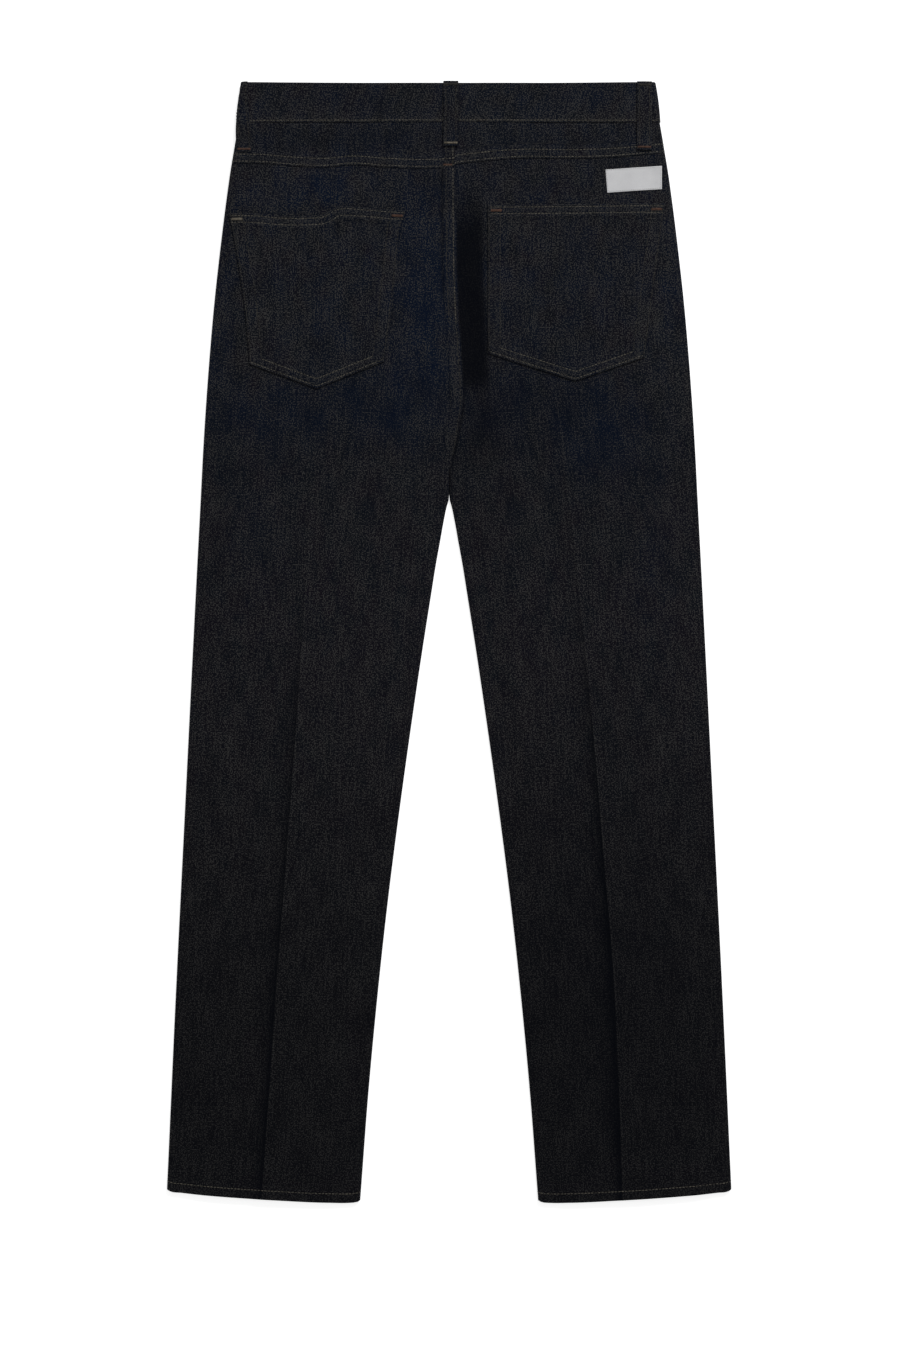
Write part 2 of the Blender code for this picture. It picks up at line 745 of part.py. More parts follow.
def build_pocket(name, edges, tip_share, collection):
    """A five-sided back pocket, its top edge turned down twice."""
    shares = (0.0, 0.16, 0.38, 0.68, 1.0)
    across = tuple(tip_share * s for s in shares) + tuple(1.0 - (1.0 - tip_share) * s for s in shares[-2::-1])
    length = edges["left"][0][1] - edges["left"][-1][1]
    hem = POCKET_HEM_DEPTH / length
    down = (0.0, hem, hem + 0.008, 0.22, 0.36, 0.50, 0.64, 0.78, 0.90, 1.0)
    thick = [POCKET_HEM_CLOTH, POCKET_HEM_CLOTH] + [CLOTH] * (len(down) - 2)
    return build_patch(name, edges, across, down, thick, DENIM, collection)


def loop_heights(foot):
    """Heights y of a belt loop's rows, closest where it climbs from the yoke on to the band."""
    climb = (foot, foot + 0.004, 0.500, BAND_LOW - 0.0025, BAND_LOW + 0.0015)
    return np.array(climb + (0.518, 0.527, 0.536, 0.543, BAND_HIGH - 0.001, LOOP_TOP))


def loop_level(y, foot, low_face, band_face):
    """Height that a loop stands off, from the panel below the band up to the band."""
    share = smooth(foot + 0.005, BAND_LOW - 0.0025, y)
    belly = LOOP_BELLY * np.sin(pi * np.clip((y - foot) / (LOOP_TOP - foot), 0.0, 1.0)) ** 2
    return low_face + (band_face - low_face) * share, belly


def build_loop_on_top(name, middle, foot, collection):
    """A belt loop on the back, over the waistband and the top of the yoke."""
    heights = loop_heights(foot)
    outer, inner = [], []
    for share in (-0.5, -0.17, 0.17, 0.5):
        x = np.full_like(heights, middle + share * LOOP_WIDTH)
        yoke = upper_face(x, np.minimum(heights, BAND_LOW)) + centre_lap(x, heights) * (middle < 0.1)
        past_lap = yoke_edge(1.0, x) + YOKE_LAP + 0.003
        yoke = yoke + LAP_RAISE * (1.0 - smooth(past_lap, past_lap + 0.009, heights)) * (middle > 0.1)
        band = band_upper_face(x, heights)
        face, belly = loop_level(heights, foot, yoke, band)
        low = face + SEAM_GAP + belly
        inner.append(np.stack([x, heights, low], axis=-1))
        outer.append(np.stack([x, heights, low + LOOP_CLOTH], axis=-1))
    return shell(name, np.stack(outer, axis=1), np.stack(inner, axis=1), DENIM, collection)


def build_loop_on_fold(collection):
    """The belt loop that wraps the left side fold."""
    foot = 0.4830
    heights = loop_heights(foot)
    to_band = smooth(foot + 0.005, BAND_LOW - 0.0025, heights)
    radius = fold_radius(heights) + (BAND_FOLD - fold_radius(heights)) * to_band
    under = lift(-0.2, heights) + (BAND_LIFT - lift(-0.2, heights)) * to_band
    edge = along(OUTLINE, heights) + (band_half_width(heights) - along(OUTLINE, heights)) * to_band
    bulge = LOOP_BELLY * np.sin(pi * np.clip((heights - foot) / (LOOP_TOP - foot), 0.0, 1.0)) ** 2
    outer, inner = [], []
    for place in (-0.0045, -0.0030, -0.0015, 0.0, 0.0015, 0.0030, 0.0045, 0.0070, 0.0095):
        angle = np.clip(place / radius, -0.5 * pi, 0.5 * pi)
        on_flat = np.maximum(np.abs(place) - 0.5 * pi * radius, 0.0)
        belly = bulge * 0.5 * (1.0 + np.sin(angle))
        middle_x = edge - radius - on_flat
        middle_z = under + radius
        for grid, off in ((inner, 0.0), (outer, LOOP_CLOTH)):
            reach = radius + SEAM_GAP + belly + off
            x = -(middle_x + reach * np.cos(angle))
            z = middle_z + reach * np.sin(angle)
            grid.append(np.stack([x, heights, z], axis=-1))
    return shell("belt_loop_back_left", np.stack(outer, axis=1), np.stack(inner, axis=1), DENIM, collection)


def build_loop_below(name, middle, collection):
    """A belt loop on the front, which lies underneath."""
    low = float(front_waist(middle))
    foot = low - 0.0200
    top = low + BAND_HIGH - BAND_LOW + 0.0010
    heights = np.array([foot, foot + 0.004, low - 0.008, low - 0.0025, low + 0.0015, low + 0.015, low + 0.030, top])
    outer, inner = [], []
    for share in (-0.5, 0.0, 0.5):
        x = np.full_like(heights, middle + share * LOOP_WIDTH)
        panel = lift(x, heights)
        band = BAND_LIFT + bump(x, heights)
        face = panel + (band - panel) * smooth(foot + 0.005, low - 0.0025, heights)
        inner.append(np.stack([x, heights, face - SEAM_GAP], axis=-1))
        outer.append(np.stack([x, heights, face - SEAM_GAP - LOOP_CLOTH], axis=-1))
    return shell(name, np.stack(outer, axis=1), np.stack(inner, axis=1), DENIM, collection)


def build_zip(collection, cutters):
    """The closed zip behind the fronts, and its slider at the top."""
    heights = np.linspace(ZIP_FOOT, float(front_waist(0.0)) - SEAM_GAP - 0.0010, 7)
    outer, inner = [], []
    for x_at in (-ZIP_HALF_WIDTH, -0.0045, 0.0, 0.0045, ZIP_HALF_WIDTH):
        x = np.full_like(heights, x_at)
        low = lift(x, heights) + ZIP_OFF
        outer.append(np.stack([x, heights, low], axis=-1))
        inner.append(np.stack([x, heights, low + ZIP_CLOTH], axis=-1))
    tape = shell("zip", np.stack(outer, axis=1), np.stack(inner, axis=1), ZIP_TAPE, collection)
    base = float(lift(0.0, SLIDER_Y))
    hole = prism("zip_hole", ellipse(0.0, SLIDER_Y, 0.0016, 0.0016, 16), base + 0.002, base + 0.005, None, cutters)
    combine(tape, hole, "DIFFERENCE")
    levels = (
        ("plate", 0.0036, 0.0052, 0.0015, 0.0026),
        ("inner_plate", 0.0032, 0.0046, ZIP_OFF + ZIP_CLOTH + SEAM_GAP, ZIP_OFF + ZIP_CLOTH + SEAM_GAP + 0.0007),
    )
    slider = None
    for label, half_x, half_y, low, high in levels:
        outline = [(sx * half_x, SLIDER_Y + sy * half_y) for sx, sy in ((-1, -1), (1, -1), (1, 1), (-1, 1))]
        if slider is None:
            slider = prism("zip_slider", outline, base + low, base + high, BRASS, collection)
            continue
        tool = prism("zip_slider_" + label, outline, base + low, base + high, None, cutters)
        pin = ellipse(0.0, SLIDER_Y, 0.0011, 0.0011, 16)
        post = prism("zip_slider_post", pin, base + 0.0020, base + high - 0.0003, None, cutters)
        combine(slider, post, "UNION")
        combine(slider, tool, "UNION")
    pull = [(-0.0022, SLIDER_Y - 0.0200), (0.0022, SLIDER_Y - 0.0200), (0.0022, SLIDER_Y - 0.0040),
            (-0.0022, SLIDER_Y - 0.0040)]
    tab = prism("zip_slider_pull", pull, base + 0.0016, base + 0.0023, None, cutters)
    combine(slider, tab, "UNION")
    return tape, slider


def main():
    """Builds the garment."""
    for made in list(bpy.data.objects):
        bpy.data.objects.remove(made, do_unlink=True)
    garment = bpy.data.collections.new("jeans")
    cutters = bpy.data.collections.new("cutters")
    for group in (garment, cutters):
        bpy.context.scene.collection.children.link(group)
    for side in (-1.0, 1.0):
        build_back(side, garment)
        build_yoke(side, garment)
        build_front(side, garment, cutters)
        build_facing(side, garment)
    build_band(garment, cutters)
    build_button(garment)
    build_pocket("back_pocket_left", POCKET_LEFT, 0.496, garment)
    build_pocket("back_pocket_right", POCKET_RIGHT, 0.551, garment)
    build_patch("label", LABEL, (0.0, 0.33, 0.67, 1.0), (0.0, 0.5, 1.0), [LABEL_CLOTH] * 3, WHITE_LABEL, garment)
    for name, middle, foot in LOOPS_ON_TOP:
        build_loop_on_top(name, middle, foot, garment)
    build_loop_on_fold(garment)
    for name, middle in LOOPS_BELOW:
        build_loop_below(name, middle, garment)
    build_zip(garment, cutters)


main()
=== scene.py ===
"""Straight-leg jeans that lie on their front with the back upwards, in metres.

X runs across the garment, Y from the hems to the waist and Z up from the surface below it. Every
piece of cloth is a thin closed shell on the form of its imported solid, with its seams, creases and
soft unevenness; each seam's stitches are laid one by one on that cloth.
"""
import logging
from collections.abc import Callable
from dataclasses import dataclass, field
from enum import Enum
from math import pi

import bpy
import numpy as np
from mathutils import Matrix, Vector


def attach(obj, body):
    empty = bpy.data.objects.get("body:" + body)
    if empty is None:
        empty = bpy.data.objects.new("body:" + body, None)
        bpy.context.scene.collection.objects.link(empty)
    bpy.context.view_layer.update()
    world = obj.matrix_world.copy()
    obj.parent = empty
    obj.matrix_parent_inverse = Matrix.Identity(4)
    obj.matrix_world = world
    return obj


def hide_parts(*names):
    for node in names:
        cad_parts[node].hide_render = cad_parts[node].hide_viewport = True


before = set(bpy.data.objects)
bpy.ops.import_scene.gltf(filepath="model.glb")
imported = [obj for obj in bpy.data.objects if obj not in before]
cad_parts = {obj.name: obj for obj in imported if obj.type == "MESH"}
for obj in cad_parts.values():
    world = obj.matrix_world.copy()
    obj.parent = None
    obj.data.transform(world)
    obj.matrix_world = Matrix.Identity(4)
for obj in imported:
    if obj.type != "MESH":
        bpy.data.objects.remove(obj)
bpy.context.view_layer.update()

Array = np.ndarray
Span = tuple[float, float]
Triple = tuple[float, float, float]
Points = tuple[Span, ...]
log = logging.getLogger("jeans")


def smooth(start: float | Array, end: float | Array, value: float | Array) -> Array:
    """Ease from 0 where value is start to 1 where it is end."""
    t = np.clip((value - start) / (end - start), 0.0, 1.0)
    return t * t * (3.0 - 2.0 * t)


def bell(off: float | Array, width: float | Array) -> Array:
    """A soft hump that is 1 where off is 0 and fades over width."""
    return np.exp(-((off / width) ** 2))


def joined(*parts: Array) -> Array:
    """Parts such as x, y and z joined into places."""
    return np.stack(parts, axis=-1)


def unit(vectors: Array) -> Array:
    """Vectors brought to a length of 1."""
    return vectors / np.linalg.norm(vectors, axis=1)[:, None]


def run_of(line: Array) -> Array:
    """Length along a line of points, from 0 at the first."""
    return np.concatenate([[0.0], np.cumsum(np.linalg.norm(np.diff(line, axis=0), axis=1))])


def places_at(at: Array, run: Array, values: Array) -> Array:
    """A line's values read at lengths along it."""
    return joined(*(np.interp(at, run, column) for column in values.T))


def off_stretch(a: Array, b: Array, x: Array, y: Array) -> tuple[Array, Array]:
    """Distance of places from a straight stretch between two points.

    Args:
        a: where the stretch starts.
        b: where it ends.
        x: places across the garment.
        y: places along the garment.

    Returns:
        The distances, and the share of the stretch that each place lies beside.
    """
    d = b - a
    share = np.clip(((x - a[0]) * d[0] + (y - a[1]) * d[1]) / (d @ d), 0.0, 1.0)
    return np.hypot(x - a[0] - share * d[0], y - a[1] - share * d[1]), share


def side_name(side: float) -> str:
    """The wearer's side at a place across."""
    return "left" if side < 0 else "right"


@dataclass(frozen=True)
class Stretch:
    """A stretch where something is fully there, eased in before it and out after it."""

    start: float
    full: float
    fade: float
    end: float

    def __call__(self, at: float | Array) -> Array:
        """The share that is there, from 0 to 1."""
        return smooth(self.start, self.full, at) * (1.0 - smooth(self.fade, self.end, at))


@dataclass(frozen=True)
class Course:
    """A smooth curve through a table of places, straight on past its ends."""

    table: Points

    def __call__(self, at: float | Array) -> Array:
        """Read the curve.

        Args:
            at: the places along the table's first column.

        Returns:
            The values of the second column there.
        """
        rows = np.array(sorted(self.table))
        x, y = rows[:, 0], rows[:, 1]
        slope = np.gradient(y, x)
        at = np.asarray(at, dtype=float)
        held = np.clip(at, x[0], x[-1])
        k = np.clip(np.searchsorted(x, held) - 1, 0, len(x) - 2)
        span = x[k + 1] - x[k]
        t = (held - x[k]) / span
        value = (
            (2 * t**3 - 3 * t**2 + 1) * y[k]
            + (t**3 - 2 * t**2 + t) * span * slope[k]
            + (3 * t**2 - 2 * t**3) * y[k + 1]
            + (t**3 - t**2) * span * slope[k + 1]
        )
        return value + (at - held) * np.where(at < held, slope[0], slope[-1])

    def straight(self, at: float | Array) -> Array:
        """The table read with straight lines between its places."""
        rows = np.array(sorted(self.table))
        return np.interp(at, rows[:, 0], rows[:, 1])


@dataclass(frozen=True)
class Rumple:
    """Seeded soft unevenness of cloth, from -1 to 1."""

    seed: int
    across: float
    along: float
    cells: int = 96

    def __call__(self, x: Array, y: Array) -> Array:
        """Read the unevenness.

        Args:
            x: places across the garment.
            y: places along the garment.

        Returns:
            One value for each place.
        """
        table = np.random.default_rng(self.seed).uniform(-1.0, 1.0, (self.cells, self.cells))
        u = np.asarray(x) / self.across + 0.37 * self.cells
        v = np.asarray(y) / self.along + 0.53 * self.cells
        i, j = np.floor(u).astype(int), np.floor(v).astype(int)
        s, t = u - i, v - j
        s, t = s * s * (3.0 - 2.0 * s), t * t * (3.0 - 2.0 * t)
        i, j, n = i % self.cells, j % self.cells, self.cells
        low = table[i, j] * (1 - s) + table[(i + 1) % n, j] * s
        high = table[i, (j + 1) % n] * (1 - s) + table[(i + 1) % n, (j + 1) % n] * s
        return low * (1 - t) + high * t


@dataclass(frozen=True)
class Fold:
    """A soft ridge, or a trough where its height is below 0, along a given line."""

    line: Points
    height: float
    left: float
    right: float
    ends: Stretch = Stretch(0.0, 0.3, 0.7, 1.0)

    def __call__(self, x: Array, y: Array) -> Array:
        """Read the fold's height.

        Args:
            x: places across the garment.
            y: places along the garment.

        Returns:
            The rise at each place, which fades to the line's two ends.
        """
        points = np.array(self.line)
        reach = run_of(points)
        near = np.full(np.shape(x), np.inf)
        side, share = np.zeros_like(near), np.zeros_like(near)
        for k, (a, b) in enumerate(zip(points, points[1:])):
            far, t = off_stretch(a, b, x, y)
            cross = (b - a)[0] * (y - a[1]) - (b - a)[1] * (x - a[0])
            closer = far < near
            near = np.where(closer, far, near)
            side = np.where(closer, cross, side)
            share = np.where(closer, (reach[k] + t * (reach[k + 1] - reach[k])) / reach[-1], share)
        return self.height * self.ends(share) * bell(near, np.where(side > 0, self.left, self.right))


@dataclass(frozen=True)
class Seam:
    """How a lapped or turned edge stands, read by the distance from that edge."""

    allowance: float
    rows: tuple[float, ...]
    rise: float
    groove: float = 0.00022
    groove_half: float = 0.0008

    def grooves(self, off: Array, depth: float) -> Array:
        """Depth of the grooves under the rows of stitches."""
        return sum(depth * bell(off - row, self.groove_half) for row in self.rows)

    def raised(self, off: Array) -> Array:
        """Rise of the cloth over its single layer, with a groove under each row of stitches."""
        step = 1.0 - smooth(self.allowance - 0.0004, self.allowance + 0.0026, off)
        return self.rise * step - self.grooves(off, self.groove)

    def worn(self, off: Array) -> Array:
        """How much the raised cloth has rubbed lighter, from 0 to 1."""
        between = 1.0 - smooth(self.allowance - 0.002, self.allowance + 0.001, off)
        return between * (0.55 + 0.45 * bell(off, 0.0012))


def turned(off: Array, thick: float) -> Array:
    """Drop of a turned edge's face, a near half circle.

    Args:
        off: distance from the edge.
        thick: thickness of the cloth there.

    Returns:
        The drop at each place.
    """
    radius = 0.46 * thick
    flat = np.clip((radius - off) / radius, 0.0, 1.0)
    return radius * (1.0 - np.sqrt(1.0 - flat**2))


FELLED = Seam(0.0104, (0.0018, 0.0086), 0.00100)
SCOOP = Seam(0.0096, (0.0021, 0.0086), 0.00050)
POCKET_SIDE = Seam(0.0134, (0.0014, 0.0122), 0.00030)
POCKET_FOOT = Seam(0.0102, (0.0022, 0.0087), 0.00045)
POCKET_TOP = Seam(0.0118, (0.0024, 0.0088), 0.00070)
HEM_TURN = Seam(0.0104, (0.0090,), 0.00050)


@dataclass(frozen=True)
class Lay:
    """How the garment lies: outline, folds and heights, with its soft unevenness."""

    gap: float = 0.0003
    cloth: float = 0.0012
    hem_cloth: float = 0.0020
    side_turn: float = 0.0080
    inseam_turn: float = 0.080
    fork_y: float = 0.1676
    foot_y: float = -0.5488
    band_low: float = 0.5078
    band_high: float = 0.5478
    band_fold: float = 0.0031
    band_lift: float = 0.0018
    front_dip: float = 0.025
    front_dip_reach: float = 0.195
    button_rise: float = 0.0012
    button_reach: float = 0.050
    button_run: Span = (0.36, 0.46)
    prop_rise: float = 0.0024
    prop_run: Span = (0.33, 0.475)
    valley_left: float = 0.032
    valley_left_share: float = 0.9
    valley_right: float = 0.031
    valley_run: Stretch = Stretch(0.190, 0.262, 0.415, 0.465)
    crease_tops: Span = (0.165, 0.262)
    crease_fade: float = 0.16
    crease_full: Span = (0.02, -0.20)
    crease_foot: Span = (0.010, 0.036)
    crease_rise: float = 0.0030
    crease_steep: float = 0.0052
    crease_gentle: float = 0.040
    crease_dip: float = 0.0007
    crease_dip_off: float = 0.017
    crease_dip_width: float = 0.011
    crease_waver: Rumple = Rumple(31, 0.5, 0.045)
    # A lighter line just right of each crease's top, partly wear and partly a painted highlight.
    rub_and_highlight_fade: float = 0.05
    rub_and_highlight_foot: Span = (0.012, 0.030)
    rub_and_highlight_off: float = 0.0004
    rub_and_highlight_width: float = 0.0011
    leg_level: float = 0.0010
    seat_level: float = 0.0010
    middle_level: float = 0.0024
    middle_across: Span = (0.045, 0.130)
    middle_along: Span = (0.29, 0.39)
    seat_run: Stretch = Stretch(0.17, 0.28, 0.425, 0.475)
    seat_loose: float = 0.0026
    leg_end: Span = (0.30, 0.42)
    leg_loose: float = 0.0013
    wide_waves: Rumple = Rumple(5, 0.070, 0.160)
    wide_rise: float = 0.0006
    fine_waves: Rumple = Rumple(8, 0.026, 0.070)
    fine_rise: float = 0.00030
    small_waves: Rumple = Rumple(9, 0.010, 0.022)
    small_rise: float = 0.00008
    sunk: float = 0.0012
    sunk_less: float = 0.0009
    sunk_run: Span = (0.335, 0.370)
    fold_ease: float = 0.036
    ridge_waver: Rumple = Rumple(14, 0.012, 0.015)
    inner_ridge: float = 0.00075
    outer_ridge: float = 0.00045
    dent_rise: float = 0.0006
    dent_waves: Rumple = Rumple(21, 0.055, 0.100)
    small_dents: Rumple = Rumple(22, 0.020, 0.050)
    band_pucker: Rumple = Rumple(41, 0.016, 0.030)
    band_waves: Rumple = Rumple(42, 0.06, 0.05)
    hem_turn: Span = (0.0100, 0.0124)
    hem_inside: Span = (0.012, 0.014)
    outline: Course = Course((
        (0.5086, 0.2060), (0.4920, 0.2089), (0.4822, 0.2105), (0.4626, 0.2138), (0.4332, 0.2180),
        (0.3842, 0.2242), (0.3352, 0.2297), (0.2862, 0.2341), (0.2372, 0.2378), (0.1882, 0.2409),
        (0.1392, 0.2434), (0.0804, 0.2465), (-0.0078, 0.2510), (-0.1548, 0.2583),
        (-0.3508, 0.2680), (-0.5321, 0.2762),
    ))
    inside_leg: Course = Course((
        (0.1676, -0.00004), (0.1450, -0.00004), (0.1410, -0.00003), (0.1385, 0.0006),
        (0.1343, 0.0019), (0.1196, 0.0051), (0.1000, 0.0086), (0.0804, 0.0122), (0.0412, 0.0185),
        (-0.0078, 0.0262), (-0.0568, 0.0335), (-0.1548, 0.0473), (-0.2528, 0.0599),
        (-0.3508, 0.0706), (-0.4488, 0.0797), (-0.5321, 0.0860),
    ))
    folds: Course = Course((
        (-0.5488, 0.0025), (-0.5300, 0.0025), (-0.5000, 0.0020), (0.3000, 0.0020),
        (0.4200, 0.0023), (0.4700, 0.0025),
    ))
    centre_seam: Course = Course((
        (0.5086, 0.0052), (0.4675, 0.0055), (0.4000, 0.0059), (0.3508, 0.0067), (0.3200, 0.0082),
        (0.2862, 0.0104), (0.2548, 0.0122), (0.2411, 0.0132), (0.2274, 0.0124), (0.2136, 0.0100),
        (0.1931, 0.0062), (0.1735, 0.0014), (0.1676, 0.0000),
    ))
    crease_left: Course = Course((
        (0.4500, 0.1150), (0.2195, 0.1290), (0.1166, 0.1360), (0.0147, 0.1428),
        (-0.0882, 0.1498), (-0.1980, 0.1579), (-0.3067, 0.1664), (-0.4537, 0.1766),
        (-0.5263, 0.1818),
    ))
    crease_right: Course = Course((
        (0.4500, 0.0850), (0.2195, 0.1076), (0.1166, 0.1200), (0.0147, 0.1309),
        (-0.0882, 0.1411), (-0.1980, 0.1503), (-0.3067, 0.1595), (-0.4537, 0.1670),
        (-0.5263, 0.1692),
    ))
    hem: Course = Course((
        (0.00, -0.5361), (0.03, -0.5383), (0.07, -0.5390), (0.17, -0.5410), (0.29, -0.5429),
        (0.44, -0.5449), (0.61, -0.5468), (0.70, -0.5478), (0.83, -0.5487), (0.96, -0.5488),
        (0.98, -0.5484), (1.00, -0.5470),
    ))
    yoke_left: Course = Course((
        (-0.2138, 0.4685), (-0.1795, 0.4677), (-0.1570, 0.4657), (-0.1168, 0.4643),
        (-0.0986, 0.4662), (-0.0600, 0.4638), (-0.0149, 0.4628), (0.0081, 0.4643),
    ))
    yoke_right: Course = Course((
        (0.0050, 0.4668), (0.0465, 0.4711), (0.0660, 0.4726), (0.1105, 0.4726),
        (0.1556, 0.4736), (0.1968, 0.4770), (0.2134, 0.4790),
    ))
    band_outline: Course = Course((
        (0.5478, 0.2019), (0.5390, 0.2035), (0.5214, 0.2058), (0.5086, 0.2068),
    ))
    soft_folds: tuple[Fold, ...] = (
        Fold(((-0.020, 0.168), (-0.070, 0.200), (-0.130, 0.226)), 0.0009, 0.010, 0.016),
        Fold(((-0.028, 0.116), (-0.090, 0.128), (-0.165, 0.158)), 0.0007, 0.012, 0.018),
        Fold(((0.022, 0.166), (0.070, 0.208), (0.128, 0.248)), 0.0009, 0.014, 0.010),
        Fold(((0.024, 0.098), (0.095, 0.118), (0.172, 0.160)), 0.0006, 0.016, 0.011),
        Fold(((-0.046, 0.410), (-0.052, 0.345), (-0.058, 0.275)), -0.0011, 0.006, 0.006),
        Fold(((-0.200, 0.276), (-0.130, 0.243), (-0.058, 0.274)), -0.0008, 0.006, 0.007),
        Fold(((0.036, 0.284), (0.122, 0.251), (0.196, 0.280)), -0.0008, 0.006, 0.007),
        Fold(((0.046, 0.430), (0.045, 0.350), (0.046, 0.262)), 0.0017, 0.026, 0.013),
        Fold(((-0.090, -0.066), (-0.150, -0.054), (-0.215, -0.078)), 0.0005, 0.010, 0.012),
        Fold(((-0.078, -0.118), (-0.140, -0.134), (-0.205, -0.118)), 0.0005, 0.012, 0.010),
        Fold(((0.080, -0.092), (0.145, -0.078), (0.220, -0.100)), 0.0005, 0.010, 0.012),
        Fold(((0.088, -0.160), (0.150, -0.176), (0.226, -0.158)), 0.0004, 0.012, 0.010),
        Fold(((-0.212, 0.150), (-0.206, 0.060), (-0.215, -0.030)), 0.0006, 0.012, 0.014),
        Fold(((0.196, 0.190), (0.190, 0.080), (0.202, -0.010)), 0.0006, 0.014, 0.012),
        Fold(((-0.120, -0.300), (-0.128, -0.400), (-0.132, -0.500)), 0.0005, 0.014, 0.012),
        Fold(((0.220, -0.270), (0.226, -0.380), (0.222, -0.480)), 0.0005, 0.010, 0.014),
    )

    def fold_radius(self, y: float | Array) -> Array:
        """Radius of the side folds at a height y."""
        return self.folds.straight(y)

    def hem_thick(self, off: Array) -> Array:
        """Thickness of a leg panel by distance from its hem's edge."""
        return self.cloth + (self.hem_cloth - self.cloth) * (1.0 - smooth(*self.hem_turn, off))

    def seam_x(self, y: float | Array) -> Array:
        """Place of the centre-back seam across, which is held from the fork down."""
        return self.centre_seam(np.maximum(y, self.fork_y))

    def bump(self, x: Array, y: Array) -> Array:
        """Height that the waist button gives the middle of the front."""
        return self.button_rise * np.exp(-0.5 * (x / self.button_reach) ** 2) * smooth(*self.button_run, y)

    def lift(self, x: Array, y: Array) -> Array:
        """Height of the lower layer's underside, which the waistband holds off the surface."""
        return self.prop_rise * smooth(*self.prop_run, y) + self.bump(x, y)

    def crease_x(self, side: float | Array, y: Array) -> Array:
        """Distance of a leg's pressed crease from the middle."""
        return np.where(np.asarray(side) < 0, self.crease_left(y), self.crease_right(y))

    def inset(self, x: Array, y: Array) -> Array:
        """Distance in plan from the nearest fold or from the fork.

        Args:
            x: places across the garment.
            y: places along the garment.

        Returns:
            The distances.
        """
        across = np.abs(x)
        inner = np.where(y < self.fork_y, across - self.inside_leg(y), np.hypot(x, y - self.fork_y))
        return np.minimum(self.outline(y) - across, inner)

    def valley(self, x: Array, y: Array) -> Array:
        """The hollow along the centre-back seam, steep to its right.

        Args:
            x: places across the garment.
            y: places along the garment.

        Returns:
            How hollow each place is, from 0 to 1.
        """
        off = x - self.seam_x(y)
        left = self.valley_left_share * bell(off, self.valley_left)
        across = np.where(off > 0, 1.0 - smooth(0.0, self.valley_right, off), left)
        return across * self.valley_run(y)

    def crease(self, x: Array, y: Array) -> tuple[Array, Array]:
        """The pressed crease of each leg.

        Args:
            x: places across the garment.
            y: places along the garment.

        Returns:
            Its rise, and how close a place is to its top line, from 0 to 1.
        """
        off = x - np.sign(x) * self.crease_x(x, y)
        top, up = np.where(x < 0, *self.crease_tops), y - self.foot_y
        share = (1.0 - smooth(top - self.crease_fade, top, y)) * (0.55 + 0.45 * smooth(*self.crease_full, y))
        share = share * (1.0 + 0.22 * self.crease_waver(x * 0.0, y))
        share = share * (0.30 + 0.70 * smooth(*self.crease_foot, up))
        shape = np.where(off < 0, np.exp(off / self.crease_steep), np.exp(-off / self.crease_gentle))
        dip = self.crease_dip * bell(off + self.crease_dip_off, self.crease_dip_width)
        # The lighter line just right of the crease's top, partly wear and partly a painted highlight.
        rubbed = (1.0 - smooth(top - self.rub_and_highlight_fade, top, y)) * smooth(*self.rub_and_highlight_foot, up)
        return share * (self.crease_rise * shape - dip), rubbed * bell(off - self.rub_and_highlight_off, self.rub_and_highlight_width)

    def rise(self, x: Array, y: Array) -> Array:
        """Rise of the upper layer over the height that its folds give it.

        Args:
            x: places across the garment.
            y: places along the garment.

        Returns:
            The rise at each place.
        """
        seat, leg = self.seat_run(y), 1.0 - smooth(*self.leg_end, y)
        middle = (1.0 - smooth(*self.middle_across, np.abs(x))) * smooth(*self.middle_along, y)
        level = self.leg_level + self.seat_level * seat
        level = level + (self.middle_level - level) * middle
        loose = leg * (self.leg_loose + self.wide_rise * self.wide_waves(x, y)) + seat * self.seat_loose
        loose = loose + self.fine_rise * self.fine_waves(x, y) + self.small_rise * self.small_waves(x, y)
        loose = loose + sum(fold(x, y) for fold in self.soft_folds)
        radius = self.fold_radius(y)
        hollow = self.valley(x, y)
        sunk = self.sunk - self.sunk_less * smooth(*self.sunk_run, y)
        level = (level + loose) * (1.0 - hollow) - sunk * hollow + self.crease(x, y)[0]
        return level * smooth(radius, radius + self.fold_ease, self.inset(x, y)) + self.edge_ridges(x, y)

    def edge_ridges(self, x: Array, y: Array) -> Array:
        """Rise that the side seam and inside-leg seam below give the cloth near the folds.

        Args:
            x: places across the garment.
            y: places along the garment.

        Returns:
            The rise at each place.
        """
        across = np.abs(x)
        leg = smooth(self.fork_y - 0.02, self.fork_y - 0.10, y)
        inner = self.inner_ridge * leg * bell(across - self.inside_leg(y) - 0.0060, 0.0040)
        outer = self.outer_ridge * smooth(0.50, 0.46, y) * bell(self.outline(y) - across - 0.0085, 0.0048)
        return (inner + outer) * (1.0 + 0.35 * self.ridge_waver(x, y))

    def upper_face(self, x: Array, y: Array) -> Array:
        """Height of the upper layer's outer face, away from the folds."""
        return self.lift(x, y) + 2.0 * self.fold_radius(y) + self.rise(x, y)

    def dent(self, x: Array, y: Array) -> Array:
        """Height of the places where the lower layer stands just off the surface.

        Args:
            x: places across the garment.
            y: places along the garment.

        Returns:
            The heights.
        """
        free = smooth(0.012, 0.040, self.inset(x, y)) * (1.0 - self.valley(x, y))
        free = free * (1.0 - bell(x, 0.020) * smooth(0.340, 0.370, y))
        waves = self.dent_waves(x, y) + 0.5 * self.small_dents(x, y)
        return self.dent_rise * free * np.clip(0.35 + waves, 0.0, 1.0)

    def front_waist(self, x: Array) -> Array:
        """Height y of the front waist seam, which dips to the middle."""
        return self.band_low - self.front_dip * (1.0 - smooth(0.0, self.front_dip_reach, np.abs(x)))

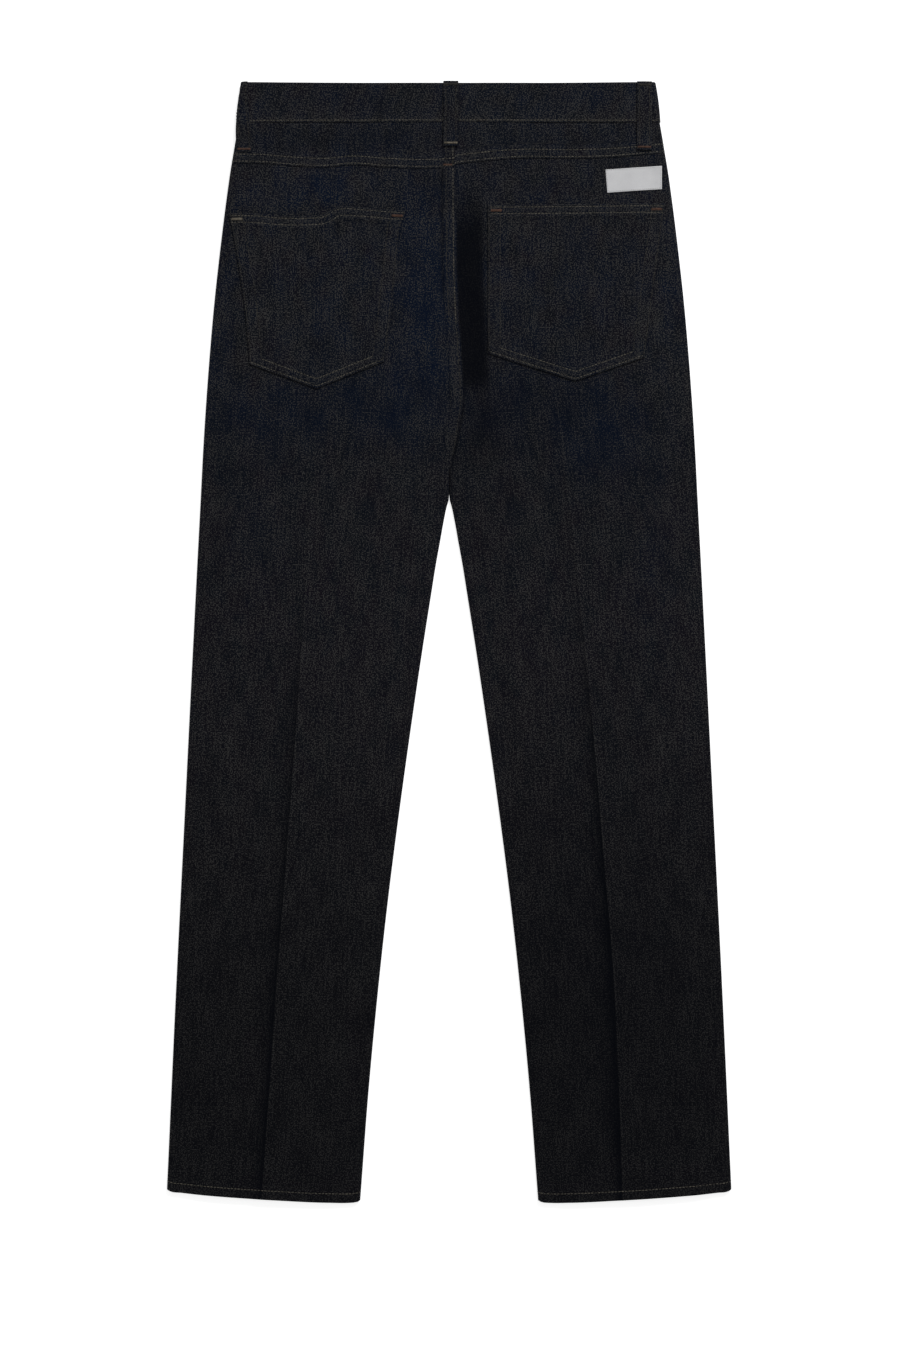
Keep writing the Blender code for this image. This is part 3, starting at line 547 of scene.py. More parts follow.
    def band_face(self, x: Array, y: Array) -> Array:
        """Height of the waistband's outer face on top.

        Args:
            x: places across the garment.
            y: places along the garment.

        Returns:
            The heights.
        """
        base = self.band_lift + self.bump(x, y) + 2.0 * self.band_fold
        wavy = 0.00022 * self.band_pucker(x, y) + 0.0003 * self.band_waves(x, y)
        edge = smooth(0.004, 0.020, self.band_outline(y) - np.abs(x))
        return base + self.rise(x, np.minimum(y, self.band_low)) + wavy * edge

    def yoke_edge(self, x: Array) -> Array:
        """Height y of the yokes' lower edge."""
        return np.where(np.asarray(x) < self.centre_seam(0.465), self.yoke_left(x), self.yoke_right(x))

    def skin(self, spot: "Spot", thick: float | Array, raised: Array, drop: Array,
             under: float | Array = 0.0) -> tuple[Array, Array]:
        """Outer and inner face points of a layer.

        Args:
            spot: the places on the cloth.
            thick: thickness of the cloth.
            raised: rise of the outer face.
            drop: how far both faces close in on each other at a turned edge.
            under: rise of the inner face.

        Returns:
            The outer points and the inner points.
        """
        radius = self.fold_radius(spot.y)
        flat = np.clip((radius - spot.off) / radius, 0.0, 1.0)
        steep = np.sqrt(1.0 - flat**2)
        x = spot.side * spot.across
        form = np.where(spot.layer > 0, self.rise(x, spot.y), self.dent(x, spot.y))
        z = self.lift(x, spot.y) + radius + spot.layer * radius * steep + form
        face = z + spot.layer * (raised - drop) * steep
        edge_x, edge_y = spot.side * spot.toward_across, spot.toward_y
        outer = joined(x + edge_x * drop * flat, spot.y + edge_y * drop * flat, face)
        deep = (thick - drop) * flat
        back = z - spot.layer * (thick - drop - under) * steep
        return outer, joined(x + edge_x * deep, spot.y + edge_y * deep, back)


@dataclass
class Spot:
    """Places on a leg panel: distance from the middle, from the nearest fold, and directions."""

    side: float
    across: Array
    y: Array
    off: Array
    layer: Array
    toward_across: Array
    toward_y: Array


LAY = Lay()


@dataclass
class Cloth:
    """Grids of a cloth shell's points and what each point carries."""

    outer: Array
    inner: Array
    grain: Array
    worn: Array
    thread_side: Array
    faces_up: float = 1.0

    def area(self) -> float:
        """Flat area of the outer face in square metres.

        Returns:
            The area.
        """
        a = self.outer[1:, 1:] - self.outer[:-1, :-1]
        b = self.outer[1:, :-1] - self.outer[:-1, 1:]
        return float(0.5 * np.linalg.norm(np.cross(a, b), axis=-1).sum())

    def size(self) -> Span:
        """Longest run across and along the outer face, in metres.

        Returns:
            The two lengths.
        """
        across = np.linalg.norm(np.diff(self.outer, axis=1), axis=-1).sum(axis=1)
        along = np.linalg.norm(np.diff(self.outer, axis=0), axis=-1).sum(axis=0)
        return float(across.max()), float(along.max())


@dataclass(frozen=True)
class TonePatch:
    """A soft patch where the denim shows bluer or darker."""

    x: float
    y: float
    wide: float
    high: float
    share: float


DYE_PATCHES = (
    TonePatch(-0.022, 0.350, 0.030, 0.100, 1.45),
    TonePatch(-0.112, 0.455, 0.034, 0.018, 0.55),
    TonePatch(-0.160, 0.437, 0.055, 0.015, 0.55),
    TonePatch(-0.165, 0.225, 0.060, 0.036, 0.85),
    TonePatch(-0.055, 0.232, 0.050, 0.036, 1.00),
    TonePatch(0.145, 0.212, 0.050, 0.054, 1.05),
    TonePatch(0.055, 0.232, 0.040, 0.034, 0.50),
    TonePatch(0.060, 0.300, 0.030, 0.090, 0.20),
    TonePatch(-0.117, 0.315, 0.022, 0.055, 0.50),
    TonePatch(0.128, 0.335, 0.022, 0.036, 0.45),
    TonePatch(-0.228, 0.290, 0.016, 0.080, 0.55),
    TonePatch(0.222, 0.350, 0.014, 0.070, 0.45),
    TonePatch(-0.090, 0.490, 0.040, 0.014, 0.45),
    TonePatch(0.095, 0.492, 0.045, 0.012, 0.35),
    TonePatch(-0.110, 0.532, 0.050, 0.010, 0.35),
    TonePatch(0.110, 0.530, 0.050, 0.012, 0.35),
    TonePatch(-0.190, 0.110, 0.030, 0.060, 0.40),
    TonePatch(0.200, 0.080, 0.025, 0.080, 0.35),
    TonePatch(0.000, 0.430, 0.400, 0.200, 0.16),
)
DARK_PATCHES = (
    TonePatch(0.000, 0.486, 0.300, 0.018, 0.16),
    TonePatch(0.110, 0.240, 0.090, 0.026, 0.20),
    TonePatch(0.030, 0.205, 0.024, 0.040, 0.42),
    TonePatch(-0.080, 0.232, 0.080, 0.020, 0.14),
    TonePatch(0.120, 0.444, 0.120, 0.012, 0.16),
    TonePatch(0.150, -0.300, 0.110, 0.200, 0.22),
    TonePatch(0.120, 0.345, 0.090, 0.080, 0.09),
    TonePatch(0.060, 0.462, 0.180, 0.012, 0.10),
    TonePatch(-0.100, 0.495, 0.110, 0.014, 0.16),
    TonePatch(-0.020, 0.530, 0.300, 0.016, 0.12),
    TonePatch(0.125, 0.150, 0.090, 0.050, 0.12),
    TonePatch(0.080, 0.215, 0.050, 0.030, 0.14),
)


@dataclass(frozen=True)
class DyeAndPaintedShade:
    """Where the denim shows bluer or darker, with painted shade: soft patches, the seat's strip, the
    creases.
    """

    waves: Rumple = Rumple(61, 0.020, 0.030)
    # Painted shade filling the trough right of the centre-back seam.
    trough_shade_share: float = 0.94
    trough_shade_across: Stretch = Stretch(0.0002, 0.0020, 0.024, 0.030)
    trough_shade_along: Stretch = Stretch(0.232, 0.262, 0.395, 0.455)
    # A painted shadow line at the foot of the lap's edge, left of the centre-back seam.
    lap_shadow_share: float = 0.45
    lap_shadow_off: float = 0.0128
    lap_shadow_width: float = 0.0020
    lap_shadow_along: Stretch = Stretch(0.320, 0.350, 0.455, 0.470)
    # A painted shadow line between the legs at the crotch, just right of the seam.
    fork_share: float = 0.60
    crotch_shadow_off: float = 0.0012
    crotch_shadow_width: float = 0.0014
    crotch_shadow_along: Span = (0.262, 0.225)
    # Painted shade that darkens the legs towards the hems, where the light falls off.
    low_leg_shade_share: float = 0.44
    low_leg_shade_along: Span = (0.02, -0.45)
    # Painted shade on the left flank of each pressed crease.
    crease_shade_share: float = 0.78
    crease_shade_width: float = 0.0062
    crease_shade_along: Span = (0.10, -0.10)

    def patched(self, patches: tuple[TonePatch, ...], x: Array, y: Array) -> Array:
        """The shares of soft patches added up.

        Args:
            patches: the patches.
            x: places across the garment.
            y: places along the garment.

        Returns:
            The sum at each place.
        """
        total = np.zeros(np.shape(x))
        for patch in patches:
            off = ((x - patch.x) / patch.wide) ** 2 + ((y - patch.y) / patch.high) ** 2
            total = total + patch.share * np.exp(-off)
        return total

    def bluer(self, x: Array, y: Array) -> Array:
        """How blue the dye shows at a place, from 0 to 1."""
        uneven = 0.72 + 0.28 * self.waves(x, y)
        return np.clip(self.patched(DYE_PATCHES, x, y) * uneven, 0.0, 1.0)

    def darker(self, x: Array, y: Array, faces_up: float) -> Array:
        """How dark a place is made: soft darker patches, painted shade and painted shadow lines.

        Args:
            x: places across the garment.
            y: places along the garment.
            faces_up: 1 for cloth of the back, which alone has the painted shade and shadow lines of the
                centre-back seam.

        Returns:
            A share for each place, from 0 to 1.
        """
        off = x - LAY.seam_x(y)
        # Painted shade filling the trough right of the centre-back seam, on the back only.
        strip = faces_up * self.trough_shade_across(off) * self.trough_shade_along(y)
        # Painted shadow line at the foot of the lap's edge, left of the seam.
        beside = self.lap_shadow_share * bell(off + self.lap_shadow_off, self.lap_shadow_width) * self.lap_shadow_along(y)
        # Painted shadow line between the legs at the crotch.
        fork = self.fork_share * bell(off - self.crotch_shadow_off, self.crotch_shadow_width) * smooth(*self.crotch_shadow_along, y)
        # Painted shade towards the hems, and the soft darker patches.
        broad = self.low_leg_shade_share * smooth(*self.low_leg_shade_along, y) + self.patched(DARK_PATCHES, x, y)
        # Painted shade on the left flank of each pressed crease.
        off = x - np.sign(x) * LAY.crease_x(x, y)
        flank = self.crease_shade_share * smooth(*self.crease_shade_along, y) * (off < 0) * np.exp(off / self.crease_shade_width)
        seat = self.trough_shade_share * strip + broad * (1.0 - strip) + (beside + fork) * faces_up
        return np.clip(seat + flank, 0.0, 1.0)


DYE_AND_PAINTED_SHADE = DyeAndPaintedShade()


class Number:
    """A number that a node gives, for use in sums."""

    def __init__(self, shading: "Shading", socket: bpy.types.NodeSocket) -> None:
        """Hold a socket of one material."""
        self.shading = shading
        self.socket = socket

    def _sum(self, operation: str, first: object, second: object) -> "Number":
        """A Math node on two values."""
        node = self.shading.node("ShaderNodeMath", {"operation": operation}, {0: first, 1: second})
        return Number(self.shading, node.outputs[0])

    def __add__(self, other: "Number | float") -> "Number":
        """Sum with a value."""
        return self._sum("ADD", self, other)

    def __radd__(self, other: float) -> "Number":
        """Sum of a plain number and this."""
        return self._sum("ADD", other, self)

    def __sub__(self, other: "Number | float") -> "Number":
        """This less a value."""
        return self._sum("SUBTRACT", self, other)

    def __rsub__(self, other: float) -> "Number":
        """A plain number less this."""
        return self._sum("SUBTRACT", other, self)

    def __mul__(self, other: "Number | float") -> "Number":
        """Product with a value."""
        return self._sum("MULTIPLY", self, other)

    def held(self) -> "Number":
        """This value kept from 0 to 1."""
        node = self.shading.node("ShaderNodeClamp", {}, {0: self})
        return Number(self.shading, node.outputs[0])

    def wave(self) -> "Number":
        """Sine of this value."""
        return self._sum("SINE", self, 0.0)


class Shading:
    """The nodes of one material."""

    def __init__(self, name: str) -> None:
        """Start a material with no nodes.

        Args:
            name: the material's name.
        """
        self.material = bpy.data.materials.new(name)
        self.material.use_nodes = True
        self.tree = self.material.node_tree
        self.tree.nodes.clear()

    def node(self, kind: str, settings: dict[str, object], links: dict[object, object]) -> bpy.types.Node:
        """Add one node.

        Args:
            kind: the node's type.
            settings: properties of the node, set first.
            links: the values or links of its sockets, by name or place.

        Returns:
            The node.
        """
        made = self.tree.nodes.new(kind)
        for key, value in settings.items():
            setattr(made, key, value)
        for key, value in links.items():
            if isinstance(value, Number):
                value = value.socket
            if isinstance(value, bpy.types.NodeSocket):
                self.tree.links.new(value, made.inputs[key])
            elif isinstance(value, tuple) and made.inputs[key].type == "RGBA":
                made.inputs[key].default_value = (*value, 1.0)
            else:
                made.inputs[key].default_value = value
        return made

    def grain(self) -> bpy.types.NodeSocket:
        """Place on the cloth in metres, across and along its warp."""
        return self.node("ShaderNodeUVMap", {"uv_map": "grain"}, {}).outputs[0]

    def place(self) -> bpy.types.NodeSocket:
        """Place in the row frame in metres."""
        return self.node("ShaderNodeTexCoord", {}, {}).outputs["Object"]

    def carried(self, name: str) -> Number:
        """A value that the mesh carries at its points."""
        found = self.node("ShaderNodeAttribute", {"attribute_name": name}, {})
        return Number(self, found.outputs["Fac"])

    def scaled(self, vector: bpy.types.NodeSocket, by: Triple) -> bpy.types.NodeSocket:
        """A vector with each part multiplied."""
        return self.node("ShaderNodeVectorMath", {"operation": "MULTIPLY"}, {0: vector, 1: by}).outputs[0]

    def noise(self, vector: bpy.types.NodeSocket, by: Triple, detail: float) -> Number:
        """Noise that runs from 0 to 1 round 0.5.

        Args:
            vector: where it is read.
            by: its scale along each part, in waves for each metre.
            detail: how many finer octaves it has.

        Returns:
            The noise value.
        """
        at = self.scaled(vector, by)
        links = {"Vector": at, "Scale": 1.0, "Detail": detail, "Roughness": 0.6}
        return Number(self, self.node("ShaderNodeTexNoise", {}, links).outputs[0])

    def parts(self, vector: bpy.types.NodeSocket) -> tuple[Number, Number]:
        """First and second parts of a vector."""
        cut = self.node("ShaderNodeSeparateXYZ", {}, {0: vector})
        return Number(self, cut.outputs[0]), Number(self, cut.outputs[1])

    def mixed(self, share: Number, first: object, second: object) -> bpy.types.NodeSocket:
        """Two colours mixed by a share."""
        links = {0: share, 6: first, 7: second}
        return self.node("ShaderNodeMix", {"data_type": "RGBA"}, links).outputs[2]

    def bumped(self, strength: float, distance: float, height: Number) -> bpy.types.NodeSocket:
        """The normal of a surface with small relief, its distance being the relief's depth in metres."""
        links = {"Strength": strength, "Distance": distance, "Height": height}
        return self.node("ShaderNodeBump", {}, links).outputs[0]

    def close(self, sockets: dict[str, object]) -> bpy.types.Material:
        """Give the material its one shader.

        Args:
            sockets: what the shader's sockets take.

        Returns:
            The finished material.
        """
        shader = self.node("ShaderNodeBsdfPrincipled", {}, sockets)
        self.node("ShaderNodeOutputMaterial", {}, {0: shader.outputs[0]})
        return self.material


@dataclass(frozen=True)
class Denim:
    """Raw twill denim: dark warp, paler weft specks, slubs, bluer patches, darker patches and painted shade.
    """

    warp: Triple = (0.0028, 0.0041, 0.0078)
    violet_warp: Triple = (0.0044, 0.0037, 0.0076)
    blue_warp: Triple = (0.0012, 0.0050, 0.0158)
    calf_warp: Triple = (0.0042, 0.0041, 0.0054)
    weft: Triple = (0.0425, 0.0418, 0.0412)
    # Colour for the painted shade and the darker patches.
    deep: Triple = (0.0012, 0.0018, 0.0040)
    reverse: Triple = (0.1000, 0.1060, 0.1250)
    twill_pitch: float = 0.00085
    yarn_pitch: float = 0.00045
    fine_waves: Triple = (980.0, 760.0, 1.0)
    coarse_waves: Triple = (520.0, 300.0, 1.0)
    slub_waves: Triple = (480.0, 34.0, 1.0)
    cloud_waves: Triple = (42.0, 26.0, 1.0)
    tint_waves: Triple = (24.0, 15.0, 1.0)
    fleck_waves: Triple = (84.0, 52.0, 1.0)
    bloom_waves: Triple = (58.0, 36.0, 1.0)
    crisp_above: float = 0.18
    leg_below: float = 0.20
    calf_below: float = 0.02

    def make(self) -> bpy.types.Material:
        """Build the material.

        Returns:
            The material.
        """
        s = Shading("raw_denim")
        grain = s.grain()
        across, along = s.parts(grain)
        worn, deep, blue = s.carried("worn"), s.carried("deep"), s.carried("blue")
        fine = s.noise(grain, self.fine_waves, 0.0)
        coarse = s.noise(grain, self.coarse_waves, 1.0)
        slub = s.noise(grain, self.slub_waves, 2.0)
        cloud = s.noise(grain, self.cloud_waves, 3.0)
        tint = s.noise(grain, self.tint_waves, 2.0)
        fleck = s.noise(grain, self.fleck_waves, 1.0)
        bloom = s.noise(grain, self.bloom_waves, 1.0)
        turn = 2.0 * pi / self.twill_pitch
        line = (across * turn + along * (0.9 * turn)).wave()
        yarn = (across * (2.0 * pi / self.yarn_pitch) + slub * 5.0).wave()
        high = s.parts(s.place())[1]
        crisp = ((high - self.crisp_above) * 6.0).held()
        leg = ((self.leg_below - high) * 5.0).held()
        calf = ((self.calf_below - high) * 2.6).held()
        speck = (fine - 0.5) * 5.4 + (coarse - 0.5) * 1.8 + (slub - 0.5) * 2.0
        strength = 0.92 + crisp * 0.26 + (cloud - 0.5) * 1.6 + worn * 0.45 - blue * 0.40
        shown = speck * strength + line * 0.08 + (cloud - 0.5) * 0.55
        shown = (shown + worn * 0.24 - blue * 0.05 + 0.035).held()
        violet = (tint - 0.5) * 4.0 + (fleck - 0.5) * 2.6 + leg * 0.50 + 0.25
        warp = s.mixed(violet.held(), self.warp, self.violet_warp)
        warp = s.mixed(calf * 0.85, warp, self.calf_warp)
        bluest = blue + (bloom - 0.5) * (0.5 + crisp * 1.3) * (1.0 - calf * 0.8) + crisp * 0.12
        warp = s.mixed(bluest.held(), warp, self.blue_warp)
        # Painted shade: where deep is carried, the warp turns to the deep colour and the weft specks fade.
        warp = s.mixed(deep, warp, self.deep)
        face = s.mixed(shown * (1.0 - deep * 0.90), warp, self.weft)
        height = line * 0.35 + yarn * 0.20 + (fine - 0.5) * 1.4 + (coarse - 0.5) * 1.0 + (slub - 0.5) * 1.4
        return s.close({
            "Base Color": s.mixed((s.carried("reverse") * (0.75 + line * 0.25)).held(), face, self.reverse),
            "Roughness": 0.84 + (fine - 0.5) * 0.16,
            "Normal": s.bumped(0.6, 0.00018, height),
            "Specular IOR Level": 0.06,
            "Sheen Weight": 0.02,
            "Sheen Roughness": 0.5,
            "Sheen Tint": (0.55, 0.60, 0.75),
        })


@dataclass(frozen=True)
class SewingThread:
    """Matt twisted thread."""

    name: str
    dark: Triple
    light: Triple

    def make(self) -> bpy.types.Material:
        """Build the material.

        Returns:
            The material.
        """
        s = Shading(self.name)
        place = s.place()
        twist = s.noise(place, (900.0, 900.0, 900.0), 2.0)
        worn = s.noise(place, (310.0, 310.0, 310.0), 2.0)
        share = ((twist - 0.5) * 1.0 + (worn - 0.5) * 3.0 + 0.5).held()
        return s.close({
            "Base Color": s.mixed(share, self.dark, self.light),
            "Roughness": 0.70 + worn * 0.15,
            "Normal": s.bumped(0.5, 0.0001, twist),
            "Specular IOR Level": 0.25,
        })


@dataclass(frozen=True)
class WovenTape:
    """Plain woven tape."""

    name: str
    dark: Triple
    light: Triple
    pitch: float

    def make(self) -> bpy.types.Material:
        """Build the material.

        Returns:
            The material.
        """
        s = Shading(self.name)
        place = s.place()
        x, y = s.parts(place)
        turn = 2.0 * pi / self.pitch
        weave = (x * turn).wave() * (y * turn).wave()
        tone = s.noise(place, (60.0, 60.0, 60.0), 3.0)
        fine = s.noise(place, (1400.0, 1400.0, 1400.0), 2.0)
        share = ((tone - 0.5) * 0.9 + (fine - 0.5) * 0.7 + weave * 0.16 + 0.5).held()
        return s.close({
            "Base Color": s.mixed(share, self.dark, self.light),
            "Roughness": 0.78 + (tone - 0.5) * 0.2,
            "Normal": s.bumped(0.4, 0.0001, weave * 0.6 + fine),
            "Specular IOR Level": 0.2,
        })


@dataclass(frozen=True)
class WornMetal:
    """Satin metal with rubbed and tarnished places."""

    name: str
    bright: Triple
    dull: Triple

    def make(self) -> bpy.types.Material:
        """Build the material.

        Returns:
            The material.
        """
        s = Shading(self.name)
        place = s.place()
        stain = s.noise(place, (260.0, 260.0, 260.0), 3.0)
        brushed = s.noise(place, (2400.0, 300.0, 900.0), 2.0)
        share = ((stain - 0.45) * 2.2).held()
        return s.close({
            "Base Color": s.mixed(share, self.bright, self.dull),
            "Metallic": 1.0,
            "Roughness": 0.30 + share * 0.22,
            "Normal": s.bumped(0.25, 0.00008, brushed),
        })


class Finish(Enum):
    """The finishes that a piece can have."""

    DENIM = Denim()
    TAN_THREAD = SewingThread("tan_thread", (0.028, 0.026, 0.021), (0.146, 0.133, 0.106))
    DIM_THREAD = SewingThread("dim_thread", (0.010, 0.010, 0.010), (0.044, 0.040, 0.034))
    PALE_THREAD = SewingThread("pale_tan_thread", (0.075, 0.064, 0.048), (0.190, 0.165, 0.125))
    COPPER_THREAD = SewingThread("copper_thread", (0.036, 0.018, 0.012), (0.096, 0.050, 0.034))
    WHITE_THREAD = SewingThread("white_thread", (0.48, 0.48, 0.48), (0.62, 0.62, 0.62))
    LABEL = WovenTape("white_label_tape", (0.575, 0.575, 0.590), (0.735, 0.735, 0.745), 0.0007)
    ZIP_TAPE = WovenTape("zip_tape", (0.009, 0.010, 0.014), (0.026, 0.027, 0.034), 0.0009)
    BRASS = WornMetal("zip_brass", (0.46, 0.30, 0.14), (0.20, 0.13, 0.06))
    COPPER = WornMetal("button_copper", (0.42, 0.22, 0.12), (0.16, 0.09, 0.06))


class Wardrobe:
    """Makes each finish once and hands it out."""

    def __init__(self) -> None:
        """Start with no finish made."""
        self.made: dict[Finish, bpy.types.Material] = {}

    def __call__(self, finish: Finish) -> bpy.types.Material:
        """The material of a finish.

        Args:
            finish: the finish.

        Returns:
            Its material, which is made the first time.
        """
        if finish not in self.made:
            self.made[finish] = finish.value.make()
        return self.made[finish]


WARDROBE = Wardrobe()


def new_piece(name: str, points: Array, faces: list[tuple[int, ...]], finish: Finish) -> bpy.types.Object:
    """A smooth-shaded object from points and faces.

    Args:
        name: the piece's name.
        points: its points, one row each.
        faces: the points of each face.
        finish: its finish.

    Returns:
        The object, linked to the scene.
    """
    mesh = bpy.data.meshes.new(name)
    mesh.from_pydata(np.asarray(points).tolist(), [], faces)
    mesh.polygons.foreach_set("use_smooth", np.ones(len(mesh.polygons), dtype=bool))
    mesh.materials.append(WARDROBE(finish))
    mesh.update()
    made = bpy.data.objects.new(name, mesh)
    bpy.context.scene.collection.objects.link(made)
    return made


def hand_over(piece: bpy.types.Object, slot: str, *nodes: str) -> bpy.types.Object:
    """Put a piece on the one body and hide the solids that it stands for.

    Args:
        piece: the piece.
        slot: the name of its material slot; not used.
        nodes: the solids that it stands for.

    Returns:
        The piece.
    """
    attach(piece, "root")
    if nodes:
        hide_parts(*nodes)
    log.info("%s: %d faces", piece.name, len(piece.data.polygons))
    return piece


def shell_piece(name: str, cloth: Cloth, finish: Finish) -> bpy.types.Object:
    """A closed shell between a cloth's two grids, with what its points carry.

    Args:
        name: the piece's name.
        cloth: the grids.
        finish: its finish.

    Returns:
        The object.
    """
    rows, columns = cloth.outer.shape[:2]
    count = rows * columns
    points = np.concatenate([cloth.outer.reshape(-1, 3), cloth.inner.reshape(-1, 3)])
    at = np.arange(count).reshape(rows, columns)
    quads = np.stack([at[:-1, :-1], at[:-1, 1:], at[1:, 1:], at[1:, :-1]], axis=-1).reshape(-1, 4)
    rim = np.concatenate([at[0, :], at[1:, -1], at[-1, -2::-1], at[-2:0:-1, 0]])
    after = np.roll(rim, -1)
    sides = joined(after, rim, rim + count, after + count)
    a, b, c = (points[quads[:, k]] for k in (0, 1, 2))
    outward = points[quads[:, 0]] - points[quads[:, 0] + count]
    if (np.cross(b - a, c - a) * outward).sum() < 0:
        quads, sides = quads[:, ::-1], sides[:, ::-1]
    faces = np.concatenate([quads, quads[:, ::-1] + count, sides])
    piece = new_piece(name, points, [tuple(f) for f in faces.tolist()], finish)
    mesh = piece.data
    corners = np.zeros(len(mesh.loops), dtype=np.int32)
    mesh.loops.foreach_get("vertex_index", corners)
    grain = np.concatenate([cloth.grain.reshape(-1, 2)] * 2)
    layer = mesh.uv_layers.new(name="grain")
    layer.uv.foreach_set("vector", grain[corners].astype(np.float32).ravel())
    x, y = points[:, 0], points[:, 1]
    plain = np.zeros(count)
    carried = {
        "worn": np.concatenate([cloth.worn.ravel(), plain]),
        "reverse": np.concatenate([plain, cloth.thread_side.ravel()]),
        "blue": DYE_AND_PAINTED_SHADE.bluer(x, y),
        # deep carries the painted shade and the darker patches.
        "deep": DYE_AND_PAINTED_SHADE.darker(x, y, cloth.faces_up),
    }
    for key, values in carried.items():
        kept = mesh.attributes.new(key, "FLOAT", "POINT")
        kept.data.foreach_set("value", values.astype(np.float32))
    return piece


def lay_flat(piece: bpy.types.Object, cloth: Cloth) -> None:
    """Log a cloth piece's cut size and area.

    Args:
        piece: the piece.
        cloth: its grids.
    """
    wide, long = cloth.size()
    log.info("%s: cut %.4f x %.4f m, area %.5f m2", piece.name, wide, long, cloth.area())
    cloth.area()


def denim_piece(node: str, cloth: Cloth, on: list[str]) -> Cloth:
    """Make a denim piece that stands for one solid.

    Args:
        node: the solid's name.
        cloth: the piece's grids.
        on: what it lies on; not used.

    Returns:
        The grids again, for the stitches on them.
    """
    piece = hand_over(shell_piece(f"denim_{node}", cloth, Finish.DENIM), "denim", node)
    lay_flat(piece, cloth)
    return cloth


class Level(Enum):
    """The two layers of the flattened garment."""

    UPPER = 1.0
    LOWER = -1.0


